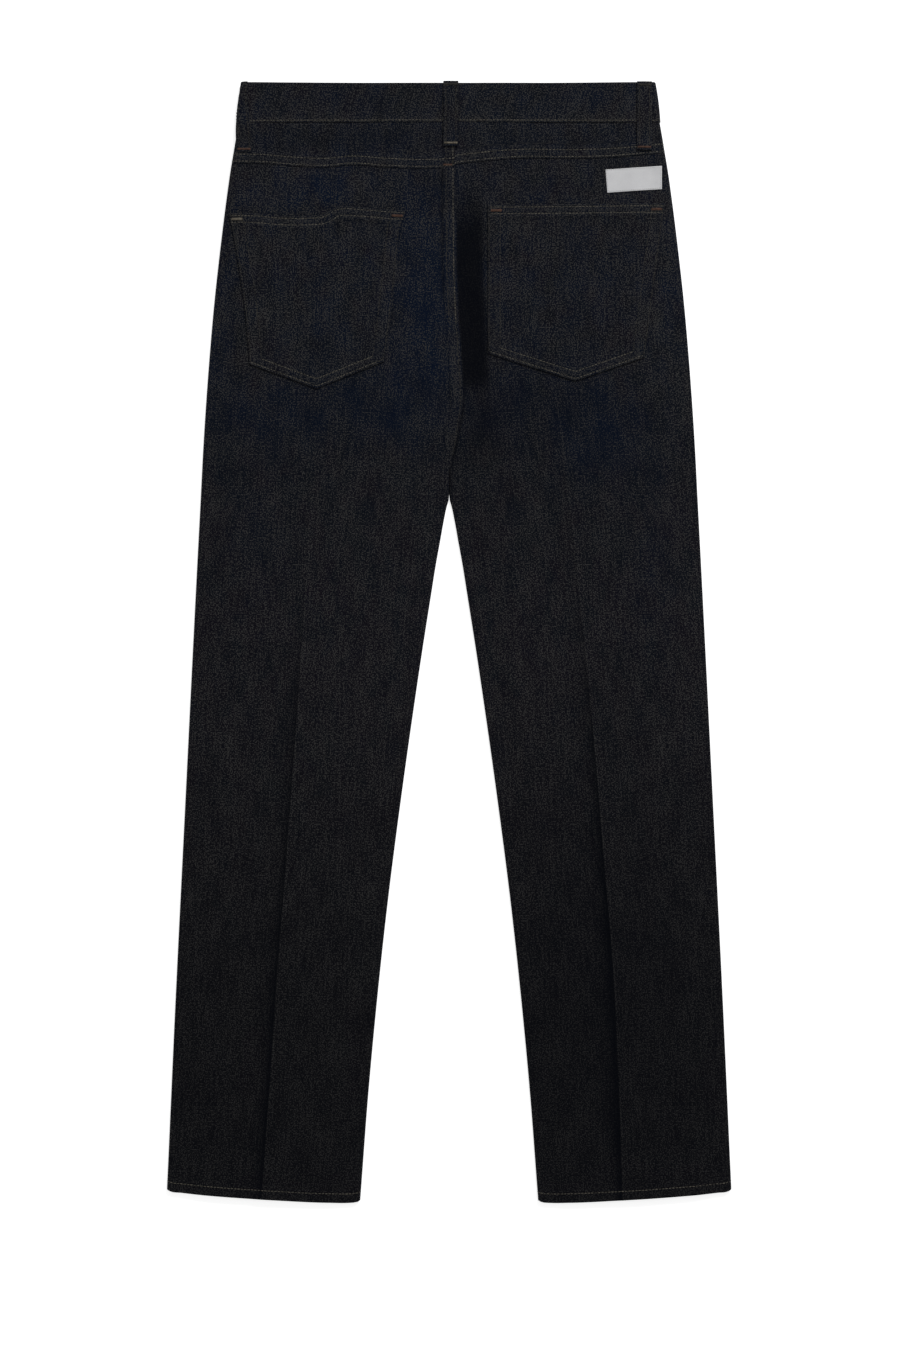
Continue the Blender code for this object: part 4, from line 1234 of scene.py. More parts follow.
@dataclass(frozen=True)
class LegPanel:
    """One leg panel's grid: its columns from the side seam to the inner seams, and its rows."""

    side: float
    level: Level
    row_step: float = 0.0042
    hem_rows: tuple[float, ...] = (
        0.0, 0.0002, 0.0005, 0.0009, 0.0016, 0.0032, 0.0050, 0.0068, 0.0078, 0.0085, 0.0090,
        0.0095, 0.0102, 0.0112, 0.0124, 0.0140, 0.0165, 0.0200,
    )
    fork_rows: tuple[float, ...] = (
        -0.0335, -0.0290, -0.0225, -0.0160, -0.0105, -0.0050, -0.0020, 0.0, 0.0008, 0.0020,
        0.0040, 0.0070, 0.0105, 0.0145,
    )
    edge_steps: tuple[float, ...] = (
        0.0014, 0.0028, 0.0044, 0.0062, 0.0082, 0.0104, 0.0130, 0.0160, 0.0200, 0.0245, 0.030,
    )
    crease_steps: tuple[float, ...] = (
        0.0190, 0.0140, 0.0105, 0.0078, 0.0056, 0.0038, 0.0024, 0.0014, 0.0006,
    )
    centre_steps: tuple[float, ...] = (
        0.0440, 0.0400, 0.0360, 0.0320, 0.0285, 0.0250, 0.0220, 0.0192, 0.0170, 0.0152, 0.0138,
        0.0128, 0.0119, 0.0111, 0.0103, 0.0097, 0.0091, 0.0086, 0.0080, 0.0070, 0.0056, 0.0042,
        0.0033, 0.0027, 0.0022, 0.0018, 0.0014, 0.0010, 0.0007, 0.0004, 0.0002, 0.0,
    )
    lower_steps: tuple[float, ...] = (
        0.030, 0.026, 0.022, 0.018, 0.0145, 0.0115, 0.0090, 0.0070, 0.0050, 0.0032, 0.0016, 0.0006, 0.0,
    )
    tuck: float = 0.0030
    tuck_run: Span = (0.012, 0.045)
    seam_overlap: float = 0.00008
    seam_run: Span = (0.015, 0.045)
    step_ease: float = 0.060
    leg_turns: tuple[tuple[float, ...], ...] = ((0.0, 0.62, 1.0), (1.0, -1.0, -2.0))
    lower_leg_turns: Span = (-5.0, -2.0)
    lower_fork_turn: float = -1.6
    hem_room: float = 0.0240
    fork_room: Span = (-0.0360, 0.0180)

    def fork_share(self, y: Array) -> Array:
        """0 at the fork, 1 where the inside-leg seam has turned fully under the leg."""
        return smooth(0.0, LAY.inseam_turn, LAY.fork_y - y)

    def wrap(self, turn: Array, radius: Array) -> tuple[Array, Array]:
        """Distance from a fold and layer at a place round it.

        Args:
            turn: 1 at the fold's upper tangent, -1 at its lower one, and less further under.
            radius: the fold's radius.

        Returns:
            The distance in plan, and the layer, 1 or -1.
        """
        arc = np.clip(turn, -1.0, 1.0)
        off = radius * (1.0 - np.cos(0.5 * pi * arc)) + LAY.side_turn * np.maximum(-turn - 1.0, 0.0)
        return off, np.where(turn >= 0.0, 1.0, -1.0)

    def outer_column(self, y: Array, turn: float) -> tuple[Array, ...]:
        """One column round the side fold."""
        off, layer = self.wrap(np.full_like(y, turn), LAY.fold_radius(y))
        return LAY.outline(y) - off, off, layer, np.full_like(y, -1.0), np.zeros_like(y)

    def flat_column(self, across: Array) -> tuple[Array, ...]:
        """One column on the flat of the layer."""
        far = np.ones_like(across)
        return across, far, self.level.value * far, 0.0 * far, 0.0 * far

    def inner_column(self, y: Array, q: float, step: float) -> tuple[Array, ...]:
        """One column next to the centre seam and the inside-leg seam.

        Args:
            y: heights of its rows.
            q: 0 at the first of these columns and 1 at the seam.
            step: distance from the centre seam, well above the fork.

        Returns:
            Distance from the middle, distance from the fold, layer, and direction off the fold.
        """
        upper = self.level is Level.UPPER
        leg_turn = np.interp(q, *(self.leg_turns if upper else ((0.0, 1.0), self.lower_leg_turns)))
        fork_turn = (1.0 if upper else self.lower_fork_turn) * (1.0 - q)
        radius = LAY.fold_radius(y)
        turn = fork_turn + (leg_turn - fork_turn) * self.fork_share(y)
        if q == 1.0:
            run = np.where(turn < -1.0, LAY.side_turn, 0.5 * pi * radius)
            turn = turn + (0.5 * LAY.gap if upper else -0.5 * LAY.gap) / run
        off_leg, layer_leg = self.wrap(turn, radius)
        start, _ = self.wrap(np.full_like(y, fork_turn), radius)
        step = start + (step - start) * smooth(0.0, self.step_ease, y - LAY.fork_y)
        middle = LAY.seam_x(y) if upper else np.zeros_like(y)
        under = self.tuck * (upper and self.side > 0) * smooth(*self.tuck_run, y - LAY.fork_y)
        opened = LAY.gap * smooth(*self.seam_run, y - LAY.fork_y) - self.seam_overlap
        seam_gap = opened if upper else LAY.gap
        across_body = self.side * middle + 0.5 * seam_gap + step - under
        off_body = np.hypot(across_body, y - LAY.fork_y)
        leg = y < LAY.fork_y
        reach = np.maximum(off_body, 1e-6)
        return (
            np.where(leg, LAY.inside_leg(y) + off_leg, across_body),
            np.where(leg, off_leg, off_body),
            np.where(leg, layer_leg, self.level.value),
            np.where(leg, 1.0, across_body / reach),
            np.where(leg, 0.0, (y - LAY.fork_y) / reach),
        )

    def columns(self) -> list[Callable[[Array], tuple[Array, ...]]]:
        """Every column, as a function of the rows' heights.

        Returns:
            Functions that give distance from the middle, distance from the fold, layer, and direction.
        """
        upper = self.level is Level.UPPER
        turns = [*np.linspace(-2.0, -1.0, 5), *np.linspace(-1.0, 1.0, 15)[1:]]
        if not upper:
            turns = [-2.0 - LAY.gap / LAY.side_turn]
        first = 0.0 if upper else LAY.side_turn + LAY.gap
        edges = self.edge_steps if upper else self.edge_steps[2::2]
        near = self.crease_steps if upper else self.crease_steps[::3]
        steps = self.steps()
        last = len(steps) - 1
        outer_end = lambda y: LAY.outline(y) - LAY.fold_radius(y) - first
        crease = lambda y: LAY.crease_x(self.side, y)
        inner_end = lambda y: self.inner_column(y, 0.0, steps[0])[0]
        made = [lambda y, t=t: self.outer_column(y, t) for t in turns]
        made += [lambda y, s=s: self.flat_column(outer_end(y) - s) for s in edges]
        made += self.between(
            lambda y: outer_end(y) - edges[-1], lambda y: crease(y) + near[0], 13 if upper else 8)
        beside = (*near, 0.0, *(-step for step in near[::-1]))
        made += [lambda y, s=s: self.flat_column(crease(y) + s) for s in beside]
        made += self.between(lambda y: crease(y) - near[0], inner_end, 19 if upper else 12)
        made += [lambda y, q=k / last, s=s: self.inner_column(y, q, s) for k, s in enumerate(steps)]
        return made

    def between(self, start: Callable[[Array], Array], end: Callable[[Array], Array],
                count: int) -> list[Callable[[Array], tuple[Array, ...]]]:
        """The columns spread evenly between two lines, without the lines themselves."""
        shares = np.linspace(0.0, 1.0, count)[1:-1]
        return [lambda y, s=s: self.flat_column(start(y) * (1 - s) + end(y) * s) for s in shares]

    def steps(self) -> tuple[float, ...]:
        """Distances from the centre seam of the columns next to it, largest first."""
        return self.centre_steps if self.level is Level.UPPER else self.lower_steps

    def rows(self, top_rows: list[float], top_of: Callable[[Array], Array], ease: float) -> tuple:
        """Row heights of a leg panel from the hem up.

        Args:
            top_rows: the nominal heights of its uppermost rows.
            top_of: the height of its top edge, for a distance from the middle.
            ease: where the rows begin to lean towards that edge.

        Returns:
            The nominal heights, and what moves them.
        """
        foot, fork = LAY.foot_y, LAY.fork_y
        low = np.arange(foot + self.hem_room, fork + self.fork_room[0], self.row_step)
        high = np.arange(fork + self.fork_room[1], top_rows[0] - 0.4 * self.row_step, self.row_step)
        nominal = np.array(
            [foot + r for r in self.hem_rows] + list(low) + [fork + r for r in self.fork_rows]
            + list(high) + list(top_rows)
        )

        def y_at(across: Array) -> Array:
            """Heights of the rows where a column lies that far from the middle.

            Args:
                across: the column's distance from the middle in each row.

            Returns:
                The heights.
            """
            width = LAY.outline(nominal) - LAY.inside_leg(np.minimum(nominal, fork))
            share = np.clip((LAY.outline(nominal) - across) / width, 0.0, 1.0)
            hem = (LAY.hem(share) - foot) * (1.0 - smooth(foot + 0.030, -0.40, nominal))
            top = (top_of(across) - nominal[-1]) * smooth(ease, nominal[-1], nominal)
            return nominal + hem + top

        return nominal, y_at

    def settle(self, nominal: Array, y_at: Callable[[Array], Array]) -> Spot:
        """Every place of the panel, each row at its own height in each column.

        Args:
            nominal: the rows' nominal heights.
            y_at: their heights for a distance from the middle.

        Returns:
            The places.
        """
        found = []
        for make in self.columns():
            y = y_at(make(nominal)[0])
            y = y_at(make(y)[0])
            found.append((*make(y), y))
        across, off, layer, toward_across, toward_y, y = (np.stack(g, axis=1) for g in zip(*found))
        return Spot(self.side, across, y, off, layer, toward_across, toward_y)


def cut_grain(outer: Array, from_x: Array) -> Array:
    """Place of each point on its cloth, along the weave.

    Args:
        outer: points of the outer face.
        from_x: where each row is measured from.

    Returns:
        Arc length across from there, and height along.
    """
    steps = np.linalg.norm(np.diff(outer, axis=1), axis=-1)
    arc = np.concatenate([np.zeros((len(outer), 1)), np.cumsum(steps, axis=1)], axis=1)
    start = np.argmin(np.abs(outer[..., 0] - from_x[:, None]), axis=1)
    arc = arc - np.take_along_axis(arc, start[:, None], axis=1)
    return np.stack([arc, outer[..., 1]], axis=-1)


@dataclass
class BackPanel:
    """One back leg panel with its pressed crease and its turned-up hem."""

    side: float
    under_yoke: float = 0.0030
    top_y: float = 0.4626
    top_steps: tuple[float, ...] = (0.0130, 0.0100, 0.0075, 0.0055, 0.0040, 0.0030, 0.0020, 0.0010, 0.0)
    lean_from: float = 0.38
    puckers: Rumple = Rumple(17, 0.008, 0.011)
    panel: LegPanel = field(init=False)

    def __post_init__(self) -> None:
        """Take the upper layer's grid."""
        self.panel = LegPanel(self.side, Level.UPPER)

    def lap(self, x: Array, y: Array) -> tuple[Array, Array]:
        """The left panel's lap over the right one at the centre-back seam.

        Args:
            x: places across the garment.
            y: places along the garment.

        Returns:
            Its rise and its wear.
        """
        share = smooth(LAY.fork_y + 0.006, LAY.fork_y + 0.040, y)
        off = LAY.seam_x(y) - x
        pucker = 1.0 + 0.20 * self.puckers(x, y)
        return share * FELLED.raised(off) * pucker, share * FELLED.worn(off)

    def cloth(self) -> Cloth:
        """The panel's grids.

        Returns:
            The panel's cloth.
        """
        top = lambda across: LAY.yoke_edge(self.side * across) + self.under_yoke
        high = [self.top_y + self.under_yoke - step for step in self.top_steps]
        nominal, y_at = self.panel.rows(high, top, self.lean_from)
        spot = self.panel.settle(nominal, y_at)
        x = self.side * spot.across
        hem_off = np.broadcast_to((nominal - LAY.foot_y)[:, None], x.shape)
        raised = HEM_TURN.raised(hem_off) * (spot.layer > 0)
        worn = 0.55 * HEM_TURN.worn(hem_off)
        under = 0.0 * x
        thick = LAY.hem_thick(hem_off)
        drop = turned(hem_off, LAY.hem_cloth)
        if self.side < 0:
            lap, lap_worn = self.lap(x, spot.y)
            raised = raised + np.where(spot.layer > 0, lap, 0.0)
            under = np.where(spot.layer > 0, np.maximum(lap - 0.0001, 0.0), 0.0)
            worn = np.maximum(worn, np.where(spot.layer > 0, lap_worn, 0.0))
            edge = np.where(spot.y > LAY.fork_y + 0.02, LAY.seam_x(spot.y) - x, 1.0)
            drop = np.maximum(drop, turned(np.maximum(edge, 0.0), LAY.cloth))
        # The crease's lighter line, partly wear and partly a painted highlight.
        worn = np.maximum(worn, 0.9 * LAY.crease(x, spot.y)[1] * (spot.layer > 0))
        outer, inner = LAY.skin(spot, thick, raised, drop, under)
        grain = cut_grain(outer, self.side * LAY.crease_x(self.side, spot.y[:, 0]))
        return Cloth(outer, inner, grain, worn, smooth(*LAY.hem_inside, hem_off))

    def build(self) -> Cloth:
        """Make the panel's piece and give its cloth."""
        side = side_name(self.side)
        return denim_piece(f"back_{side}", self.cloth(), [f"denim_front_{side}"])


@dataclass(frozen=True)
class Yoke:
    """One back yoke, lapped over the leg panel and sewn down in two rows."""

    side: float
    steps: tuple[float, ...] = (
        0.0, 0.0002, 0.0005, 0.0009, 0.0013, 0.0018, 0.0023, 0.0028, 0.0034, 0.0044, 0.0056,
        0.0068, 0.0076, 0.0081, 0.0086, 0.0091, 0.0096, 0.0103, 0.0111, 0.0119, 0.0128, 0.0140,
        0.0158, 0.0180, 0.0208, 0.0240,
    )
    upper_shares: tuple[float, ...] = (0.17, 0.34, 0.51, 0.68, 0.85, 1.0)
    into_band: float = 0.0015
    foot_y: float = 0.4690
    puckers: Rumple = Rumple(18, 0.0105, 0.010)

    def cloth(self) -> Cloth:
        """The yoke's grids.

        Returns:
            The yoke's cloth.
        """
        panel = LegPanel(self.side, Level.UPPER)
        steps = np.array(self.steps + (0.0,) * len(self.upper_shares))
        shares = np.array(self.upper_shares)
        top = LAY.band_low + self.into_band

        def y_at(across: Array) -> Array:
            """Heights of the rows where a column lies that far from the middle.

            Args:
                across: the column's distance from the middle in each row.

            Returns:
                The heights.
            """
            y = LAY.yoke_edge(self.side * across) + steps
            last = y[len(self.steps) - 1]
            y[len(self.steps):] = last + (top - last) * shares
            return y

        spot = panel.settle(self.foot_y + steps, y_at)
        x = self.side * spot.across
        off = spot.y - LAY.yoke_edge(x)
        pucker = 1.0 + 0.22 * self.puckers(x, spot.y)
        raised, worn = FELLED.raised(off) * pucker, FELLED.worn(off)
        drop = turned(off, LAY.cloth)
        if self.side < 0:
            edge = np.maximum(LAY.centre_seam(spot.y) - x, 0.0)
            raised = np.maximum(raised, FELLED.raised(edge) * pucker)
            worn = np.maximum(worn, FELLED.worn(edge))
            drop = np.maximum(drop, turned(edge, LAY.cloth))
        upper = spot.layer > 0
        raised, worn = np.where(upper, raised, 0.0), np.where(upper, worn, 0.0)
        outer, inner = LAY.skin(spot, LAY.cloth, raised, drop, np.maximum(raised - 0.0001, 0.0))
        return Cloth(outer, inner, cut_grain(outer, np.full(len(outer), self.side * 0.11)), worn, 1.0 - worn)

    def build(self) -> Cloth:
        """Make the yoke's piece and give its cloth."""
        side = side_name(self.side)
        return denim_piece(f"yoke_{side}", self.cloth(), [f"denim_back_{side}"])


@dataclass(frozen=True)
class FrontPanel:
    """One front leg panel, which lies underneath, with the scoop of its pocket."""

    side: float
    bend_y: float = 0.350
    row_step: float = 0.0065
    lean_from: float = 0.30
    scoop_start: float = 0.104
    scoop_corner: float = 0.2060
    scoop_depth: float = 0.072
    top_steps: tuple[float, ...] = (
        0.0, 0.0002, 0.0005, 0.0009, 0.0015, 0.0021, 0.0026, 0.0034, 0.0050, 0.0068, 0.0080,
        0.0086, 0.0092, 0.0104, 0.0130, 0.0165,
    )
    into_band: float = 0.0012

    def scoop(self, share: float | Array, grown: float = 0.0) -> tuple[Array, Array]:
        """The scoop's edge.

        Args:
            share: 0 at the waist end and 1 at the side seam.
            grown: distance outside the edge.

        Returns:
            Distances from the middle, and heights y.
        """
        angle = 0.5 * pi * np.asarray(share)
        wide, deep = self.scoop_corner - self.scoop_start + grown, self.scoop_depth + grown
        top = float(LAY.front_waist(np.array(self.scoop_start)))
        return self.scoop_corner - wide * np.cos(angle), top - deep * np.sin(angle)

    def top_edge(self, share: Array) -> tuple[Array, Array]:
        """Places on the panel's top edge.

        Args:
            share: the places, by share of the edge's length from the side seam.

        Returns:
            Distances from the middle, and heights y.
        """
        end = float(LAY.outline(0.425) - LAY.fold_radius(0.425)) - LAY.side_turn - LAY.gap
        scoop_x, scoop_y = self.scoop(np.linspace(1.0, 0.0, 60))
        waist_x = np.linspace(self.scoop_start, 0.5 * LAY.gap, 30)[1:]
        x = np.concatenate([[end], scoop_x, waist_x])
        y = np.concatenate([[scoop_y[0]], scoop_y, LAY.front_waist(waist_x) + self.into_band])
        run = run_of(joined(x, y))
        return np.interp(share, run / run[-1], x), np.interp(share, run / run[-1], y)

    def cloth(self) -> Cloth:
        """The panel's grids.

        Returns:
            The panel's cloth.
        """
        panel = LegPanel(self.side, Level.LOWER, row_step=self.row_step)
        top_rows = [self.bend_y - 0.008, self.bend_y]
        nominal, y_at = panel.rows(top_rows, lambda across: self.bend_y, self.lean_from)
        spot = panel.settle(nominal, y_at)
        start = np.array([spot.across[-1], spot.y[-1]])
        share = (start[0, 0] - start[0]) / (start[0, 0] - start[0, -1])
        end = np.array(self.top_edge(share))
        length = np.hypot(*(end - start))
        near = 1.0 - np.array(self.top_steps[::-1])[:, None] / length
        far = np.linspace(0.0, 1.0, 22)[1:, None] * near[0]
        t = np.concatenate([far, near[1:]])
        more = start[None] + (end - start)[None] * t[:, None]
        flat = np.ones_like(more[:, 0])
        joined = [
            np.concatenate([a, b]) for a, b in (
                (spot.across, more[:, 0]), (spot.y, more[:, 1]), (spot.off, flat),
                (spot.layer, -flat), (spot.toward_across, 0 * flat), (spot.toward_y, 0 * flat),
            )
        ]
        spot = Spot(self.side, *joined)
        hem_off = np.concatenate([nominal - LAY.foot_y, np.full(len(t), 1.0)])[:, None] + 0.0 * spot.y
        top_off = np.concatenate([np.full(spot.y[:-len(t)].shape, 1.0), (1.0 - t) * length])
        on_scoop = spot.across > self.scoop_start
        raised = -HEM_TURN.grooves(hem_off, HEM_TURN.groove)
        raised = raised - SCOOP.grooves(top_off, SCOOP.groove) * on_scoop
        thick = LAY.hem_thick(hem_off)
        drop = np.maximum(turned(hem_off, LAY.hem_cloth), turned(top_off, LAY.cloth) * on_scoop)
        worn = np.maximum(0.4 * HEM_TURN.worn(hem_off), 0.6 * SCOOP.worn(top_off) * on_scoop)
        outer, inner = LAY.skin(spot, thick, raised, drop)
        grain = cut_grain(outer, self.side * LAY.crease_x(self.side, spot.y[:, 0]))
        return Cloth(outer, inner, grain, worn, smooth(*LAY.hem_inside, hem_off), faces_up=0.0)

    def build(self) -> Cloth:
        """Make the panel's piece and give its cloth."""
        return denim_piece(f"front_{side_name(self.side)}", self.cloth(), ["floor"])


@dataclass(frozen=True)
class PocketFacing:
    """The cloth that shows inside the scoop of a front pocket."""

    side: float
    foot: float = 0.405
    overlap: float = 0.014
    start: float = 0.104
    end: float = 0.2005
    foot_reach: float = 0.0125
    off_front: float = 0.0002
    waves: Rumple = Rumple(25, 0.02, 0.02)

    def cloth(self) -> Cloth:
        """The facing's grids.

        Returns:
            The facing's cloth.
        """
        share, level = np.meshgrid(np.linspace(0.0, 1.0, 30), np.linspace(0.0, 1.0, 28))
        end = self.end + self.foot_reach * (1.0 - level)
        across = self.start - self.overlap + (end - self.start + self.overlap) * share
        y = self.foot + (LAY.front_waist(across) + 0.0010 - self.foot) * level
        x = self.side * across
        low = LAY.lift(x, y) + LAY.cloth + LAY.gap + self.off_front * (1.0 + self.waves(x, y))
        outer = joined(x, y, low)
        inner = outer + np.array([0.0, 0.0, LAY.cloth])
        grain = joined(x + 0.61, y + 0.23)
        return Cloth(outer, inner, grain, 0.0 * x, 0.0 * x + 1.0)

    def build(self) -> Cloth:
        """Make the facing's piece and give its cloth."""
        side = side_name(self.side)
        return denim_piece(f"pocket_facing_{side}", self.cloth(), [f"denim_front_{side}"])


@dataclass(frozen=True)
class Waistband:
    """The waistband, one strip folded over at its ends and lapped at the front."""

    thick: float = 0.0026
    end_over: float = 0.020
    end_under: float = -0.025
    end_rise: float = 0.0029
    end_rise_run: Span = (0.024, 0.058)
    foot_rise: float = 0.00030
    foot_rise_run: Span = (0.0085, 0.0115)
    groove: float = 0.00022
    groove_half: float = 0.0008
    stitch_row: float = 0.0021
    sag: float = 0.0013
    foot_gap: float = 0.00015
    half_front: float = 0.182
    half_back: float = 0.1995
    edge_steps: tuple[float, ...] = (
        0.0, 0.0003, 0.0007, 0.0012, 0.0017, 0.0021, 0.0025, 0.0031, 0.0042, 0.0058, 0.0076, 0.0096,
    )
    top_steps: tuple[float, ...] = (0.0060, 0.0042, 0.0028, 0.0018, 0.0011, 0.0006, 0.0002, 0.0)
    end_steps: tuple[float, ...] = (0.0, 0.0003, 0.0008, 0.0015, 0.0025)

    def levels(self) -> Array:
        """Distances of the rows from the band's lower edge.

        Returns:
            The distances, lowest first.
        """
        depth = LAY.band_high - LAY.band_low - self.foot_gap
        top = depth - np.array(self.top_steps)
        return np.concatenate([self.edge_steps, np.linspace(self.edge_steps[-1], top[0], 9)[1:-1], top])

    def cloth(self) -> Cloth:
        """The band's grids.

        Returns:
            The band's cloth.
        """
        up = self.levels()
        y = LAY.band_low + self.foot_gap + up
        off = np.minimum(up, up[-1] - up)
        drop = np.maximum(turned(up, self.thick * 0.7), turned(up[-1] - up, self.thick))
        raised = self.foot_rise * (1.0 - smooth(*self.foot_rise_run, up))
        raised = raised - self.groove * bell(up - self.stitch_row, self.groove_half)
        rows, ends = (y, raised, drop), np.array(self.end_steps)
        over = np.linspace(self.end_over - 0.004, -self.half_front, 52)
        over = np.concatenate([self.end_over - ends, over])
        under = np.linspace(self.half_front, self.end_under + 0.004, 54)
        under = np.concatenate([under, self.end_under + ends[:0:-1], [self.end_under]])
        rise = self.end_rise * (1.0 - smooth(*self.end_rise_run, under))
        columns = [self.lower_column(x, self.end_over - x, 0.0, rows) for x in over]
        columns += [self.fold_column(-1.0, turn, rows) for turn in np.linspace(-1.0, 1.0, 13)]
        columns += [self.top_column(x, up, rows) for x in np.linspace(-self.half_back, self.half_back, 122)]
        columns += [self.fold_column(1.0, turn, rows) for turn in np.linspace(1.0, -1.0, 13)]
        columns += [self.lower_column(x, x - self.end_under, z, rows) for x, z in zip(under, rise)]
        outer, inner = (np.stack(grid, axis=1) for grid in zip(*columns))
        worn = 0.9 * bell(up - self.stitch_row, 0.0026) + 0.25 * (1.0 - smooth(0.0, 0.0020, off))
        worn = np.clip(worn + 0.15 * (1.0 - smooth(0.006, 0.011, up)), 0.0, 1.0)
        worn = np.broadcast_to(worn[:, None], outer.shape[:2])
        grain = cut_grain(outer, np.full(len(outer), 0.0)) + np.array([0.0, 0.31])
        return Cloth(outer, inner, grain, worn, 0.0 * worn)

    def top_column(self, x_at: float, up: Array, rows: tuple[Array, ...]) -> tuple[Array, Array]:
        """One column of the band's back half, which sags between its ends.

        Args:
            x_at: its place across.
            up: the rows' distances from the band's lower edge.
            rows: the rows' heights y, rise of the outer face, and closing of both faces.

        Returns:
            The outer points and the inner points.
        """
        y_back, raised, drop = rows
        x = np.full_like(y_back, x_at)
        y = y_back - self.sag * (1.0 - (x_at / 0.2) ** 2) * up / up[-1]
        z = LAY.band_face(x, y_back)
        return joined(x, y, z + raised - drop), joined(x, y, z - self.thick + drop)

    def lower_column(self, x_at: float, end: float, rise: float,
                     rows: tuple[Array, ...]) -> tuple[Array, Array]:
        """One column of the band's front half, which lies underneath.

        Args:
            x_at: its place across.
            end: its distance from the strip's end.
            rise: height over the outer end.
            rows: the rows' heights y on the back, rise of the outer face, and closing of both faces.

        Returns:
            The outer points and the inner points.
        """
        y_back, raised, drop = rows
        x = np.full_like(y_back, x_at)
        y = y_back - LAY.band_low + LAY.front_waist(x)
        drop = np.maximum(drop, turned(np.array(end), self.thick))
        z = LAY.band_lift + LAY.bump(x, y) + rise
        return joined(x, y, z - np.minimum(raised, 0.0) + drop), joined(x, y, z + self.thick - drop)

    def fold_column(self, side: float, turn: float, rows: tuple[Array, ...]) -> tuple[Array, Array]:
        """One column round a side fold.

        Args:
            side: -1 for the left fold and 1 for the right one.
            turn: -1 at the fold's lower tangent and 1 at its upper one.
            rows: the rows' heights y, rise of the outer face, and closing of both faces.

        Returns:
            The outer points and the inner points.
        """
        y, raised, drop = rows
        angle = 0.5 * pi * turn
        middle = side * (LAY.band_outline(y) - LAY.band_fold)
        base = LAY.band_lift + LAY.band_fold + LAY.bump(side * 0.2, y)
        outer = LAY.band_fold + raised * max(np.sin(angle), 0.0) - drop
        inner = LAY.band_fold - self.thick + drop
        return tuple(
            joined(middle + side * reach * np.cos(angle), y, base + reach * np.sin(angle))
            for reach in (outer, inner)
        )

    def build(self) -> Cloth:
        """Make the band's piece and give its cloth."""
        on = ["floor", "denim_yoke_left", "denim_yoke_right"]
        return denim_piece("waistband", self.cloth(), on)


@dataclass(frozen=True)
class Patch:
    """Edge lines in plan of a piece sewn flat on the back, from left to right and top to foot."""

    top: Points
    foot: Points
    left: Points
    right: Points

    def on(self, line: Points, share: Array) -> Array:
        """Places on an edge line: a smooth curve, or straight runs for the foot.

        Args:
            line: the edge line's points.
            share: the places, by share of the line's length.

        Returns:
            The plan points there.
        """
        points = np.array(line)
        if line is not self.foot and len(points) > 2:
            main = int(line is not self.top)
            at = np.linspace(points[0, main], points[-1, main], 80)
            other = Course(tuple(zip(points[:, main], points[:, 1 - main])))(at)
            points = joined(other, at) if main else joined(at, other)
        run = run_of(points)
        return places_at(share, run / run[-1], points)

    def plan(self, columns_at: Array, rows_at: Array) -> Array:
        """Plan points between the four edge lines.

        Args:
            columns_at: the columns' shares from the left.
            rows_at: the rows' shares from the top.

        Returns:
            The points, row by row from the top.
        """
        u, v = np.asarray(columns_at)[None, :, None], np.asarray(rows_at)[:, None, None]
        top, foot = self.on(self.top, columns_at)[None], self.on(self.foot, columns_at)[None]
        left, right = self.on(self.left, rows_at)[:, None], self.on(self.right, rows_at)[:, None]
        corners = (
            (1 - u) * (1 - v) * np.array(self.top[0]) + u * (1 - v) * np.array(self.top[-1])
            + (1 - u) * v * np.array(self.foot[0]) + u * v * np.array(self.foot[-1])
        )
        return (1 - v) * top + v * foot + (1 - u) * left + u * right - corners

    def sewn_edge(self) -> Array:
        """The edge that is sewn down: left side from the top, foot, right side to the top.

        Returns:
            Its plan points.
        """
        share = np.linspace(0.0, 1.0, 9)
        left, right = self.on(self.left, share), self.on(self.right, share)[::-1]
        return np.concatenate([left, np.array(self.foot)[1:-1], right])

    def sewn_row(self, side: float, foot: float) -> Array:
        """A row of stitches inside the sewn edge.

        Args:
            side: its distance from the sides.
            foot: its distance from the foot.

        Returns:
            The row's plan points.
        """
        edge = self.sewn_edge()
        by = np.full(len(edge) - 1, -side)
        by[8:-8] = -foot
        return inward(edge, by)

    def off(self, line: Array, x: Array, y: Array) -> Array:
        """Distance of places from a line of points."""
        return np.minimum.reduce([off_stretch(a, b, x, y)[0] for a, b in zip(line, line[1:])])


def inward(line: Array, by: float | Array) -> Array:
    """A line of plan points moved to its right by a distance, corners kept sharp.

    Args:
        line: the points.
        by: the distance, or one for each stretch between two points.

    Returns:
        The moved points.
    """
    d = np.diff(line, axis=0)
    d = d / np.linalg.norm(d, axis=1)[:, None]
    normal = np.stack([d[:, 1], -d[:, 0]], axis=-1)
    by = np.broadcast_to(by, len(normal))
    first, last = np.vstack([normal[:1], normal]), np.vstack([normal, normal[-1:]])
    by_first, by_last = np.concatenate([by[:1], by]), np.concatenate([by, by[-1:]])
    moved = []
    for point, a, b, to_a, to_b in zip(line, first, last, by_first, by_last):
        if abs(a[0] * b[1] - a[1] * b[0]) > 0.05:
            moved.append(point + np.linalg.solve(np.array([a, b]), np.array([to_a, to_b])))
        else:
            moved.append(point + 0.5 * (to_a * a + to_b * b))
    return np.array(moved)


